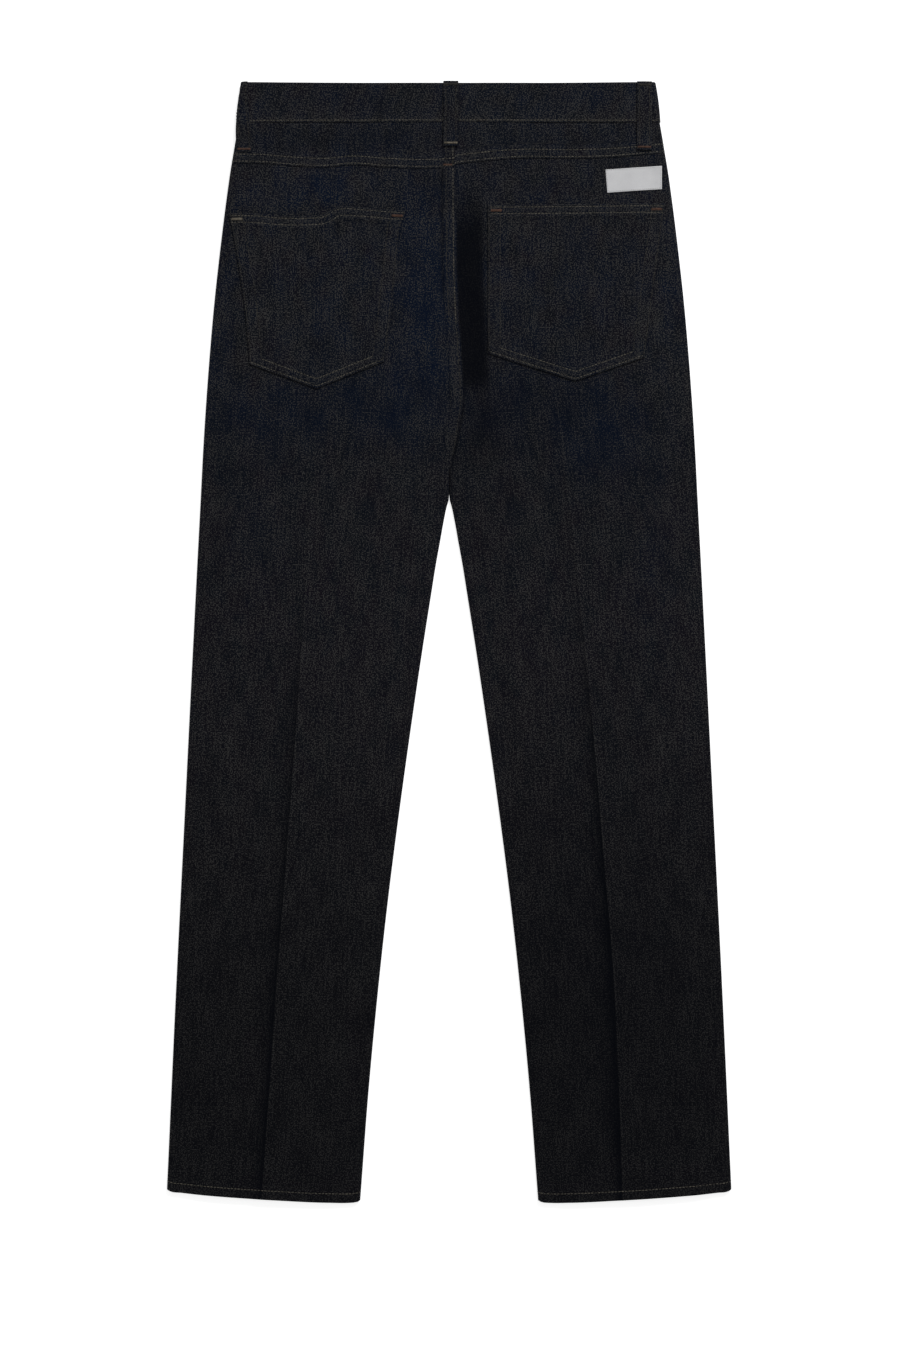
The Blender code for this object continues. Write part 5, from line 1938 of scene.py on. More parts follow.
@dataclass(frozen=True)
class BackPocket:
    """A five-sided patch pocket, its top turned down twice and its edge sewn in two rows."""

    name: str
    edges: Patch
    tip: float
    seed: int
    groove: float = 0.00012
    off_panel: float = 0.00012
    belly: float = 0.0006
    belly_run: Span = (0.012, 0.055)
    edge_steps: tuple[float, ...] = (
        0.0, 0.0002, 0.0005, 0.0009, 0.0014, 0.0019, 0.0023, 0.0028, 0.0038, 0.0050, 0.0062,
        0.0073, 0.0080, 0.0085, 0.0090, 0.0096, 0.0104, 0.0113, 0.0124, 0.0140, 0.0160,
    )

    def shares(self) -> tuple[Array, Array]:
        """Where the columns and rows lie, from 0 to 1.

        Returns:
            The columns' shares from the left, the rows' from the top.
        """
        top, left = np.array(self.edges.top), np.array(self.edges.left)
        wide = 0.94 * (top[-1, 0] - top[0, 0])
        high = left[0, 1] - left[-1, 1]
        near = np.array(self.edge_steps)
        across = near / wide
        left_half = np.linspace(across[-1], self.tip, 14)[1:-1]
        right_half = np.linspace(self.tip, 1.0 - across[-1], 14)[1:-1]
        columns = np.concatenate([across, left_half, [self.tip], right_half, (1.0 - across)[::-1]])
        down = near / high
        rows = np.concatenate([down, np.linspace(down[-1], 1.0 - down[-1], 30)[1:-1], (1.0 - down)[::-1]])
        return columns, rows

    def profile(self, x: Array, y: Array) -> tuple[Array, Array, Array]:
        """How the pocket's face stands off a single layer.

        Args:
            x: places across the garment.
            y: places along the garment.

        Returns:
            Its rise, its wear, and its drop at the edges.
        """
        sewn = self.edges.sewn_edge()
        flank = np.minimum(self.edges.off(sewn[:9], x, y), self.edges.off(sewn[-9:], x, y))
        foot = self.edges.off(sewn[8:-8], x, y)
        side = np.minimum(flank, foot)
        top = self.edges.off(self.edges.on(self.edges.top, np.linspace(0.0, 1.0, 30)), x, y)
        uneven = 1.0 + 0.35 * Rumple(self.seed, 0.009, 0.009)(x, y)
        raised = np.maximum(POCKET_SIDE.raised(flank), POCKET_FOOT.raised(foot))
        raised = np.maximum(raised, POCKET_TOP.raised(top)) * uneven
        for seam, off in ((POCKET_SIDE, flank), (POCKET_FOOT, foot), (POCKET_TOP, top)):
            raised = raised - seam.grooves(off, self.groove)
        belly = self.belly * smooth(*self.belly_run, side) * smooth(0.0, 0.02, top + 0.008)
        belly = belly * (1.0 + 0.5 * Rumple(self.seed + 1, 0.030, 0.045)(x, y))
        small = 0.00010 * Rumple(self.seed + 2, 0.006, 0.009)(x, y) * smooth(0.0, 0.004, side)
        raised = raised + belly + small
        worn = np.maximum(0.40 * POCKET_SIDE.worn(flank), 0.90 * POCKET_FOOT.worn(foot))
        worn = np.maximum(worn, POCKET_TOP.worn(top))
        edge = np.minimum(side, top)
        return raised, worn, turned(edge, LAY.cloth)

    def cloth(self) -> Cloth:
        """The pocket's grids.

        Returns:
            The pocket's cloth.
        """
        columns_at, rows_at = self.shares()
        plan = self.edges.plan(columns_at, rows_at)
        x, y = plan[..., 0], plan[..., 1]
        raised, worn, drop = self.profile(x, y)
        low = LAY.upper_face(x, y) + self.off_panel
        outer = joined(x, y, low + LAY.cloth + raised - drop)
        inner = joined(x, y, low + drop)
        grain = joined(x + 0.17 * self.seed, y + 0.05 * self.seed)
        return Cloth(outer, inner, grain, worn, 0.0 * x)

    def face(self, x: Array, y: Array) -> Array:
        """Height of the pocket's outer face."""
        raised, _, _ = self.profile(x, y)
        return LAY.upper_face(x, y) + self.off_panel + LAY.cloth + raised

    def build(self) -> Cloth:
        """Make the pocket's piece and give its cloth."""
        return denim_piece(self.name, self.cloth(), [f"denim_back_{side_name(self.edges.top[0][0])}"])


@dataclass(frozen=True)
class SewnLabel:
    """The bare white label, its ends folded under."""

    edges: Patch = Patch(
        top=((0.1527, 0.4617), (0.2080, 0.4656)),
        foot=((0.1545, 0.4388), (0.2080, 0.4427)),
        left=((0.1527, 0.4617), (0.1545, 0.4388)),
        right=((0.2080, 0.4656), (0.2080, 0.4427)),
    )
    thick: float = 0.0007
    off_panel: float = 0.00035
    wave_rise: float = 0.00025
    waves: Rumple = Rumple(51, 0.020, 0.012)
    wide: float = 0.054
    high: float = 0.0216
    edge_steps: tuple[float, ...] = (0.0, 0.0002, 0.0005, 0.0010, 0.0020, 0.0035, 0.0055)

    def outline(self) -> Array:
        """The label's four corners and the first again."""
        return np.array([*self.edges.top, *self.edges.foot[::-1], self.edges.top[0]])

    def face(self, x: Array, y: Array) -> Array:
        """Height of the label's outer face."""
        wave = self.wave_rise * self.waves(x, y) * smooth(0.0, 0.004, self.edges.off(self.outline(), x, y))
        return LAY.upper_face(x, y) + self.off_panel + self.thick + wave

    def cloth(self) -> Cloth:
        """The label's grids.

        Returns:
            The label's cloth.
        """
        near = np.array(self.edge_steps) / self.wide
        down = np.array(self.edge_steps[:5]) / self.high
        plan = self.edges.plan(
            np.concatenate([near, np.linspace(0.11, 0.89, 24)[1:-1], 1.0 - near[::-1]]),
            np.concatenate([down, np.linspace(0.10, 0.90, 12)[1:-1], 1.0 - down[::-1]]),
        )
        x, y = plan[..., 0], plan[..., 1]
        drop = turned(self.edges.off(self.outline(), x, y), self.thick)
        z = self.face(x, y)
        outer = joined(x, y, z - drop)
        inner = joined(x, y, z - self.thick + drop)
        return Cloth(outer, inner, plan.copy(), 0.0 * x, 0.0 * x)

    def build(self) -> None:
        """Make the label's piece."""
        cloth = self.cloth()
        piece = hand_over(shell_piece("bare_label", cloth, Finish.LABEL), "label_cloth", "label")
        lay_flat(piece, cloth)


@dataclass(frozen=True)
class BeltLoops:
    """The five belt loops, each a folded strip sewn in two rows."""

    width: float = 0.0147
    thick: float = 0.0013
    belly: float = 0.0005
    top: float = 0.5480
    row: float = 0.0024
    groove: float = 0.00022
    groove_half: float = 0.0007
    side_run: Span = (0.0024, 0.0050)
    end_rise: float = 0.00045
    end_run: Span = (0.0060, 0.0075)
    end_steps: tuple[float, ...] = (0.0, 0.0003, 0.0008, 0.0014, 0.0022, 0.0034)
    side_steps: tuple[float, ...] = (0.0, 0.0002, 0.0006, 0.0011, 0.0018, 0.0024, 0.0031, 0.0044)
    middle_steps: tuple[float, ...] = (-0.0015, 0.0, 0.0015)
    over_edge: float = 0.35
    slant: float = 0.184
    slant_from: float = 0.5488
    slant_start: float = 0.0009
    front_foot: float = 0.0200

    def heights(self, foot: float, low: float, top: float) -> Array:
        """Heights y of a loop's rows.

        Args:
            foot: its lower end.
            low: the waistband's lower edge there.
            top: its upper end.

        Returns:
            The heights, closest at the ends and where it climbs on to the band.
        """
        ends = np.array(self.end_steps)
        inside = np.linspace(foot + 0.0048, top - 0.0048, 30)
        return np.sort(np.concatenate([foot + ends, inside, [low - 0.0012, low + 0.0005], top - ends]))

    def across(self) -> Array:
        """Distances of a loop's columns from its middle."""
        edge = 0.5 * self.width - np.array(self.side_steps)
        return np.concatenate([-edge, self.middle_steps, edge[::-1]])

    def grid(self, foot: float, low: float, top: float) -> tuple[Array, ...]:
        """A loop's places and how its face stands there.

        Args:
            foot: its lower end.
            low: the waistband's lower edge there.
            top: its upper end.

        Returns:
            Heights y, distances from its middle, rise, wear, and drop at the edges.
        """
        y, off = np.meshgrid(self.heights(foot, low, top), self.across(), indexing="ij")
        end = np.minimum(y - foot, top - y)
        return y, off, *self.profile(0.5 * self.width - np.abs(off), end)

    def swelling(self, y: Array, foot: float) -> Array:
        """How far a loop stands off between its two ends."""
        return self.belly * np.sin(pi * np.clip((y - foot) / (self.top - foot), 0.0, 1.0)) ** 2

    def profile(self, off: Array, end: Array) -> tuple[Array, Array, Array]:
        """How a loop's face stands.

        Args:
            off: distance from its side.
            end: distance from its end.

        Returns:
            Its rise, its wear, and its drop at the edges.
        """
        raised = self.groove * (smooth(*self.side_run, off) - bell(off - self.row, self.groove_half))
        raised = raised + self.end_rise * (1.0 - smooth(*self.end_run, end))
        worn = 0.25 * (1.0 - smooth(0.0010, 0.0030, off)) + 0.20 + 0.0 * end
        return raised, worn, turned(np.minimum(off, end), self.thick)

    def on_back(self, name: str, middle: float, foot: float) -> Cloth:
        """One loop on the back, over the yoke and the waistband.

        Args:
            name: its node's name.
            middle: x of its middle.
            foot: y of its lower end.

        Returns:
            Its cloth.
        """
        y, off, raised, worn, drop = self.grid(foot, LAY.band_low, self.top)
        x = middle + off
        low = self.under_loop(middle, x, y, foot) + self.swelling(y, foot)
        outer = joined(x, y, low + self.thick + raised - drop)
        inner = joined(x, y, low + drop)
        grain = joined(x + 0.43, y + 0.11)
        return denim_piece(name, Cloth(outer, inner, grain, worn, 0.0 * x), ["denim_waistband"])

    def under_loop(self, middle: float, x: Array, y: Array, foot: float) -> Array:
        """Height of what a loop on the back lies on.

        Args:
            middle: x of the loop's middle.
            x: places across the garment.
            y: places along the garment.
            foot: y of the loop's lower end.

        Returns:
            The heights.
        """
        flat_x = middle + self.over_edge * (x - middle)
        lap = 0.00125 if middle < 0.1 else 0.00115 * (1.0 - smooth(0.012, 0.016, y - LAY.yoke_edge(x)))
        yoke = LAY.upper_face(flat_x, np.minimum(y, LAY.band_low)) + lap
        band = LAY.band_face(flat_x, y) + 0.0003
        share = smooth(foot + 0.005, LAY.band_low - 0.0020, y)
        return yoke + (band - yoke) * share + 0.00015

    def back_face(self, middle: float, foot: float, x: Array, y: Array) -> Array:
        """Height of the outer face of a loop on the back.

        Args:
            middle: x of the loop's middle.
            foot: y of its lower end.
            x: places across the garment.
            y: places along the garment.

        Returns:
            The heights.
        """
        end = np.minimum(y - foot, self.top - y)
        raised, _, _ = self.profile(0.5 * self.width - np.abs(x - middle), end)
        return self.under_loop(middle, x, y, foot) + self.swelling(y, foot) + self.thick + raised

    def fold_frame(self, y: Array, foot: float) -> tuple[Array, Array, Array]:
        """The left fold under the loop that wraps it.

        Args:
            y: places along the garment.
            foot: y of the loop's lower end.

        Returns:
            The fold's radius, its distance from the middle, and its middle height.
        """
        share = smooth(foot + 0.005, LAY.band_low - 0.0025, y)
        radius = LAY.fold_radius(y) + (LAY.band_fold - LAY.fold_radius(y)) * share
        under = LAY.lift(-0.2 + 0.0 * y, y)
        under = under + (LAY.band_lift - under) * share
        edge = LAY.outline(y) + (LAY.band_outline(y) - LAY.outline(y)) * share
        return radius, edge, under + radius

    def slip(self, y: Array) -> Array:
        """How far round the left fold the middle of its loop lies, more towards its foot."""
        return self.slant * (self.slant_from - y) - self.slant_start

    def round_fold(self, place: Array, y: Array, foot: float, out: Array) -> Array:
        """Points on the loop that wraps the left fold.

        Args:
            place: arc from the fold's middle height, more towards the top.
            y: heights of the points.
            foot: y of the loop's lower end.
            out: distance of the points outside the fold.

        Returns:
            The points.
        """
        radius, edge, middle_z = self.fold_frame(y, foot)
        angle = np.clip(place / radius, -0.5 * pi, 0.5 * pi)
        on_flat = np.maximum(np.abs(place) - 0.5 * pi * radius, 0.0)
        reach = radius + LAY.gap + self.swelling(y, foot) * 0.5 * (1.0 + np.sin(angle)) + out
        on_top = (place > 0) * (LAY.rise(-(edge - radius - on_flat), np.minimum(y, LAY.band_low)))
        x = -(edge - radius - on_flat + reach * np.cos(angle))
        return joined(x, y, middle_z + reach * np.sin(angle) + on_top)

    def on_fold(self, name: str, foot: float) -> Cloth:
        """The loop that wraps the left side fold.

        Args:
            name: its node's name.
            foot: y of its lower end.

        Returns:
            Its cloth.
        """
        y, off, raised, worn, drop = self.grid(foot, LAY.band_low, self.top)
        place = off + self.slip(y)
        raised = raised * smooth(-0.002, 0.002, place)
        outer = self.round_fold(place, y, foot, self.thick + raised - drop)
        inner = self.round_fold(place, y, foot, drop)
        grain = joined(off + 0.43, y + 0.19)
        return denim_piece(name, Cloth(outer, inner, grain, worn, 0.0 * y), ["denim_waistband"])

    def on_front(self, name: str, middle: float) -> Cloth:
        """A loop on the front, which lies underneath.

        Args:
            name: its node's name.
            middle: x of its middle.

        Returns:
            Its cloth.
        """
        low_y = float(LAY.front_waist(np.array(middle)))
        foot, top = low_y - self.front_foot, low_y + LAY.band_high - LAY.band_low + 0.0010
        y, off, raised, worn, drop = self.grid(foot, low_y, top)
        x = middle + off
        z = self.front_level(x, y, foot, low_y) - 0.0001
        outer = joined(x, y, z - self.thick + drop - np.minimum(raised, 0.0))
        inner = joined(x, y, z - drop)
        grain = joined(x + 0.43, y + 0.27)
        return denim_piece(name, Cloth(outer, inner, grain, worn, 0.0 * x), ["floor"])

    def front_level(self, x: Array, y: Array, foot: float, low_y: float) -> Array:
        """Height of the cloth that a loop on the front hangs under."""
        panel, band = LAY.lift(x, y), LAY.band_lift + LAY.bump(x, y)
        return panel + (band - panel) * smooth(foot + 0.005, low_y - 0.0025, y)


BACK_LOOPS = (("belt_loop_back_centre", 0.0016, 0.4844), ("belt_loop_back_right", 0.1908, 0.4808))
FRONT_LOOPS = (("belt_loop_front_left", -0.1080), ("belt_loop_front_right", 0.1080))
FOLD_LOOP = ("belt_loop_back_left", 0.4790)

LEFT_POCKET = BackPocket(
    "back_pocket_left",
    Patch(
        top=((-0.2158, 0.4192), (-0.1900, 0.4186), (-0.1640, 0.4162), (-0.1420, 0.4160), (-0.1300, 0.4165),
             (-0.1225, 0.4175), (-0.1176, 0.4202), (-0.1130, 0.4236), (-0.1075, 0.4249), (-0.0840, 0.4243),
             (-0.0600, 0.4223), (-0.0421, 0.4215)),
        foot=((-0.1953, 0.2714), (-0.1296, 0.2477), (-0.0633, 0.2742)),
        left=((-0.2158, 0.4192), (-0.2098, 0.3903), (-0.2044, 0.3580), (-0.1993, 0.3214), (-0.1953, 0.2714)),
        right=((-0.0421, 0.4215), (-0.0472, 0.4075), (-0.0509, 0.3752), (-0.0558, 0.3321), (-0.0594, 0.3020),
               (-0.0633, 0.2742)),
    ),
    0.496,
    71,
)
RIGHT_POCKET = BackPocket(
    "back_pocket_right",
    Patch(
        top=((0.0375, 0.4268), (0.1210, 0.4275), (0.2112, 0.4288)),
        foot=((0.0375, 0.2820), (0.1235, 0.2550), (0.1911, 0.2782)),
        left=((0.0375, 0.4268), (0.0377, 0.3560), (0.0375, 0.2820)),
        right=((0.2112, 0.4288), (0.2017, 0.3572), (0.1911, 0.2782)),
    ),
    0.551,
    81,
)


@dataclass
class Thread:
    """Stitches laid one by one on the cloth, merged into one piece of thread."""

    name: str
    finish: Finish
    pitch: float = 0.0033
    gap: float = 0.00060
    width: float = 0.00080
    lean: float = 0.00007
    sides: int = 6
    seed: int = 3
    shares: tuple[float, ...] = (0.0, 0.19, 0.5, 0.81, 1.0)
    swell: tuple[float, ...] = (0.30, 0.92, 1.0, 0.92, 0.30)
    stands: tuple[float, ...] = (-0.00014, 0.00010, 0.00017, 0.00010, -0.00014)
    made: list[Array] = field(default_factory=list)

    def lay(self, start: Array, end: Array, up: Array, width: float) -> None:
        """Lay straight stitches.

        Args:
            start: where each begins.
            end: where each ends.
            up: direction off the cloth at each.
            width: the thread's width.
        """
        span = end - start
        side = unit(np.cross(up, span))
        share = np.array(self.shares)[None, :, None]
        middle = start[:, None] + span[:, None] * share
        middle = middle + up[:, None] * np.array(self.stands)[None, :, None] * (width / self.width)
        angle = 2.0 * pi * np.arange(self.sides) / self.sides
        ring = side[:, None] * np.cos(angle)[None, :, None] + up[:, None] * np.sin(angle)[None, :, None]
        reach = 0.5 * width * np.array(self.swell)[None, :, None, None]
        self.made.append(middle[:, :, None] + ring[:, None] * reach)

    def run(self, line: Array, up: Array, start: float = 0.0, end: float = 0.0) -> "Thread":
        """Lay a row of stitches along a line.

        Args:
            line: its points on the cloth.
            up: direction off the cloth at each point.
            start: length left bare at its start.
            end: length left bare at its end.

        Returns:
            This thread.
        """
        run = run_of(line)
        count = int((run[-1] - start - end) / self.pitch)
        if count < 1:
            return self
        pitch = (run[-1] - start - end) / count
        chance = np.random.default_rng(self.seed + count)
        at = start + pitch * np.arange(count)
        first = places_at(at + self.gap * chance.uniform(0.3, 0.7, count), run, line)
        last = places_at(at + pitch - self.gap * chance.uniform(0.3, 0.7, count), run, line)
        off = unit(places_at(at + 0.5 * pitch, run, up))
        side = unit(np.cross(off, last - first))
        first = first + side * chance.uniform(-self.lean, self.lean, count)[:, None]
        last = last + side * chance.uniform(-self.lean, self.lean, count)[:, None]
        self.lay(first, last, off, self.width)
        return self

    def tack(self, line: Array, up: Array, wide: float, pitch: float = 0.00046) -> "Thread":
        """Lay a dense bar of short stitches across a line.

        Args:
            line: its points on the cloth.
            up: direction off the cloth at each point.
            wide: length of the short stitches.
            pitch: distance between them.

        Returns:
            This thread.
        """
        run = run_of(line)
        count = max(int(run[-1] / pitch), 2)
        at = np.linspace(0.0, run[-1], count)
        off = places_at(at, run, up)
        place = places_at(at, run, line) + off * 0.00016
        ahead = np.gradient(place, axis=0)
        side = unit(np.cross(off, ahead))
        chance = np.random.default_rng(self.seed + 7 * count)
        reach = 0.5 * wide * chance.uniform(0.86, 1.06, count)[:, None]
        slant = 0.35 * pitch * unit(ahead)
        self.lay(place - side * reach - slant, place + side * reach + slant, off, 0.86 * self.width)
        return self

    def build(self) -> bpy.types.Object:
        """Merge the stitches into one piece.

        Returns:
            The piece.
        """
        rings = np.concatenate(self.made)
        count, bands, n = rings.shape[:3]
        at = np.arange(count * bands * n).reshape(count, bands, n)
        after = np.roll(at, -1, axis=2)
        quads = np.stack([at[:, :-1], at[:, 1:], after[:, 1:], after[:, :-1]], axis=-1).reshape(-1, 4)
        caps = np.concatenate([at[:, 0], at[:, -1, ::-1]])
        faces = [tuple(f) for f in quads.tolist()] + [tuple(f) for f in caps.tolist()]
        return hand_over(new_piece(self.name, rings.reshape(-1, 3), faces, self.finish), "denim")


def grid_line(cloth: Cloth, row: int | None = None, column: int | None = None) -> tuple[Array, Array]:
    """A row or a column of a cloth's outer face, and the direction off the cloth along it.

    Args:
        cloth: the grids.
        row: the row, or None.
        column: the column where no row is given.

    Returns:
        The points and the directions.
    """
    pick = (slice(None), column) if row is None else (row, slice(None))
    line, off = cloth.outer[pick], cloth.outer[pick] - cloth.inner[pick]
    return line, unit(off)


def on_face(line: Array, face: Callable[[Array, Array], Array]) -> tuple[Array, Array]:
    """Points over a plan line on an upward face, and the direction off it.

    Args:
        line: points in plan.
        face: height of the face at x and y.

    Returns:
        The points, close together, and the directions.
    """
    run = run_of(line)
    at = np.linspace(0.0, run[-1], max(int(run[-1] / 0.0015), 3))
    x, y = places_at(at, run, line).T
    return joined(x, y, face(x, y)), joined(0.0 * x, 0.0 * x, 0.0 * x + 1.0)


@dataclass(frozen=True)
class Zip:
    """The closed zip behind the fronts: its tape, its chain of teeth and its slider."""

    half_width: float = 0.014
    foot: float = 0.372
    head: float = 0.4822
    thick: float = 0.0006
    off: float = 0.0017
    tooth_pitch: float = 0.0018
    first_tooth: float = 0.010
    last_tooth: float = 0.4655
    tooth_half: float = 0.00055
    tooth_levels: Points = ((-0.00062, 0.00016), (-0.00044, 0.0), (0.00044, 0.0), (0.00062, 0.00016))
    stop_at: float = 0.0072
    stop_half: float = 0.0016

    def low(self, x: Array, y: Array) -> Array:
        """Height of the tape's lower face."""
        return LAY.lift(x, y) + self.off

    def tape(self) -> None:
        """Make the tape."""
        across = np.linspace(-1.0, 1.0, 23) * self.half_width
        y, x = np.meshgrid(np.linspace(self.foot, self.head, 44), across, indexing="ij")
        z = self.low(x, y) + 0.00006 * Rumple(91, 0.004, 0.006)(x, y)
        drop = turned(self.half_width - np.abs(x), self.thick)
        outer = joined(x, y, z + drop)
        inner = joined(x, y, z + self.thick - drop)
        cloth = Cloth(outer, inner, joined(x, y), 0.0 * x, 0.0 * x)
        piece = hand_over(shell_piece("zip_tape", cloth, Finish.ZIP_TAPE), "zip_tape", "zip")
        lay_flat(piece, cloth)

    def teeth(self) -> None:
        """Make the teeth of both sides, locked into each other, and the stop at the foot."""
        places = np.arange(self.foot + self.first_tooth, self.last_tooth, self.tooth_pitch)
        locked = 0.5 * self.tooth_pitch
        blocks = [(side, y + locked * (side > 0), self.tooth_half) for y in places for side in (-1.0, 1.0)]
        blocks += [(side, self.foot + self.stop_at, self.stop_half) for side in (-1.0, 1.0)]
        points, faces = [], []
        for side, y, half in blocks:
            base = float(self.low(np.array(0.0), np.array(y))) + 0.5 * self.thick
            for z, cut in self.tooth_levels:
                near, far = -0.0004 + cut, 0.0025 - cut
                low, high = -half + cut, half - cut
                for across, along in ((near, low), (far, low), (far, high), (near, high)):
                    points.append((side * across, y + along, base + z))
            first = len(points) - 16
            for level in range(3):
                for k in range(4):
                    a, b = first + 4 * level + k, first + 4 * level + (k + 1) % 4
                    faces.append((a, b, b + 4, a + 4) if side > 0 else (a, a + 4, b + 4, b))
            top, foot = tuple(range(first + 12, first + 16)), tuple(range(first + 3, first - 1, -1))
            faces += [top, foot] if side > 0 else [top[::-1], foot[::-1]]
        piece = new_piece("zip_teeth", np.array(points), faces, Finish.BRASS)
        piece.data.polygons.foreach_set("use_smooth", np.zeros(len(faces), dtype=bool))
        hand_over(piece, "brass")

    def build(self) -> None:
        """Make the zip and finish its slider."""
        self.tape()
        self.teeth()
        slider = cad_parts["zip_slider"]
        slider.data.materials.clear()
        slider.data.materials.append(WARDROBE(Finish.BRASS))


@dataclass(frozen=True)
class WaistButton:
    """The waist button under the front of the band: a turned cap and its shank."""

    y: float = 0.5032
    sides: int = 72
    profile: Points = (
        (0.0029, 0.00075), (0.0035, 0.00092), (0.0047, 0.00092), (0.0054, 0.00070), (0.0062, 0.00048),
        (0.0072, 0.00036), (0.0079, 0.00052), (0.0083, 0.00084), (0.0085, 0.00125), (0.0084, 0.00180),
        (0.0079, 0.00222), (0.0070, 0.00250), (0.0050, 0.00262), (0.0032, 0.00262), (0.0030, 0.00285),
        (0.0030, 0.00300),
    )

    def build(self) -> None:
        """Make the button."""
        angle = 2.0 * pi * np.arange(self.sides) / self.sides
        rings = [
            joined(reach * np.cos(angle), self.y + reach * np.sin(angle), 0.0 * angle + z)
            for reach, z in self.profile
        ]
        count, n = len(rings), self.sides
        middles = [[0.0, self.y, self.profile[0][1]], [0.0, self.y, self.profile[-1][1]]]
        points = np.concatenate([*rings, middles])
        faces = []
        for k in range(n):
            j = (k + 1) % n
            faces += [(r * n + k, r * n + j, (r + 1) * n + j, (r + 1) * n + k) for r in range(count - 1)]
            faces += [(count * n, j, k), (count * n + 1, (count - 1) * n + k, (count - 1) * n + j)]
        hand_over(new_piece("waist_button", points, faces, Finish.COPPER), "copper", "button")


def spool(name: str, finish: Finish, **sizes: float) -> Thread:
    """A field that starts each garment with a thread of its own."""
    return field(default_factory=lambda: Thread(name, finish, **sizes))


@dataclass
class Garment:
    """The whole garment: every cloth piece, its seams' stitches, the zip and the button."""

    topstitch: Thread = spool("thread_topstitch", Finish.TAN_THREAD)
    pocket_thread: Thread = spool("thread_pockets", Finish.TAN_THREAD, seed=11)
    under_thread: Thread = spool("thread_front", Finish.TAN_THREAD, width=0.00050, seed=23)
    # Darker thread for the rows that show less.
    dim_thread: Thread = spool("thread_dim", Finish.DIM_THREAD, seed=17)
    tan_tacks: Thread = spool("thread_tan_tacks", Finish.PALE_THREAD)
    copper_tacks: Thread = spool("thread_copper_tacks", Finish.COPPER_THREAD)
    label_thread: Thread = spool(
        "thread_label", Finish.WHITE_THREAD, pitch=0.0021, gap=0.0004, width=0.00040, seed=5)
    tack_wide: float = 0.0021
    tack_half: float = 0.0062
    tack_up: float = 0.0030
    tack_down: float = 0.0034
    fold_tack_half: float = 0.0060
    corner_wide: float = 0.0026
    corner_run: Span = (0.0034, 0.0135)
    crossing_wide: float = 0.0020
    crossing_run: Span = (-0.0108, -0.0030)
    crossing_up: float = 0.0024
    label_inset: float = 0.0013
    bright_down_to: float = 0.310
    fly_lines: tuple[Points, ...] = (
        ((-0.0360, 0.4900), (-0.0360, 0.4060), (-0.0342, 0.3930), (-0.0290, 0.3810), (-0.0200, 0.3715),
         (-0.0090, 0.3660), (-0.0012, 0.3640)),
        ((-0.0300, 0.4890), (-0.0300, 0.4060), (-0.0284, 0.3960), (-0.0240, 0.3868), (-0.0166, 0.3790),
         (-0.0080, 0.3740), (-0.0012, 0.3722)),
        ((-0.0022, 0.3640), (-0.0022, 0.1800)),
    )

    def legs(self, side: float) -> None:
        """One side's leg panels, facing and yoke, with their seams' stitches.

        Args:
            side: -1 for the left and 1 for the right.
        """
        front, back = FrontPanel(side), BackPanel(side)
        front_cloth = front.build()
        PocketFacing(side).build()
        back_cloth = back.build()
        yoke_cloth = Yoke(side).build()
        hem_row = back.panel.hem_rows.index(HEM_TURN.rows[0])
        self.topstitch.run(*grid_line(back_cloth, row=hem_row))
        self.under_thread.run(*grid_line(front_cloth, row=hem_row))
        for row in FELLED.rows:
            line, up = grid_line(yoke_cloth, row=Yoke.steps.index(row))
            self.topstitch.run(line, up, end=0.0030 if side < 0 else 0.0)
        if side < 0:
            self.centre_rows(back_cloth, yoke_cloth, back.panel)
        self.front_rows(front, front_cloth)

    def centre_rows(self, back: Cloth, yoke: Cloth, panel: LegPanel) -> None:
        """The two rows down the centre-back seam.

        Args:
            back: the left panel's cloth.
            yoke: the left yoke's cloth.
            panel: the grid of both.
        """
        columns = back.outer.shape[1]
        for row, thread in zip(FELLED.rows, (self.topstitch, self.dim_thread)):
            column = columns - len(panel.centre_steps) + panel.centre_steps.index(row)
            line, up = grid_line(back, column=column)
            y, top = line[:, 1], LAY.yoke_edge(line[:, 0]) - 0.0004
            keep = (y > self.bright_down_to) & (y < top)
            thread.run(line[keep][::-1], up[keep][::-1])
            if row == FELLED.rows[0]:
                keep = (y > LAY.fork_y + 0.012) & (y < self.bright_down_to)
                self.dim_thread.run(line[keep][::-1], up[keep][::-1])
            line, up = grid_line(yoke, column=column)
            thread.run(line, up, 0.0008, 0.0018)

    def front_rows(self, front: FrontPanel, cloth: Cloth) -> None:
        """The rows on one front: along its scoop and, on the left, round its fly.

        Args:
            front: the front.
            cloth: its cloth.
        """
        steps = front.top_steps
        share = np.linspace(0.0, 1.0, cloth.outer.shape[1])
        scoop = (front.top_edge(share)[0] > front.scoop_start + 0.0005) & (share > 0.012)
        for row in SCOOP.rows:
            line, up = grid_line(cloth, row=-1 - steps.index(row))
            self.under_thread.run(line[scoop], up[scoop])
        if front.side < 0:
            for row in self.fly_lines:
                line, up = on_face(np.array(row), lambda x, y: LAY.lift(x, y) + LAY.dent(x, y))
                self.under_thread.run(line, -up)

    def pocket_rows(self, pocket: BackPocket) -> None:
        """The double rows round a back pocket.

        Args:
            pocket: the pocket.
        """
        top = pocket.edges.on(pocket.edges.top, np.linspace(0.0, 1.0, 40))
        for by_side, by_foot in zip(POCKET_SIDE.rows, POCKET_FOOT.rows):
            line = pocket.edges.sewn_row(by_side, by_foot)
            self.dim_thread.run(*on_face(line[:9], pocket.face), 0.0015, 0.0)
            self.pocket_thread.run(*on_face(line[8:-8], pocket.face), 0.0, 0.0)
            self.dim_thread.run(*on_face(line[-9:], pocket.face), 0.0, 0.0015)
        for inset in POCKET_TOP.rows:
            line = inward(top, inset)
            self.pocket_thread.run(*on_face(line, pocket.face), 0.0020, 0.0020)

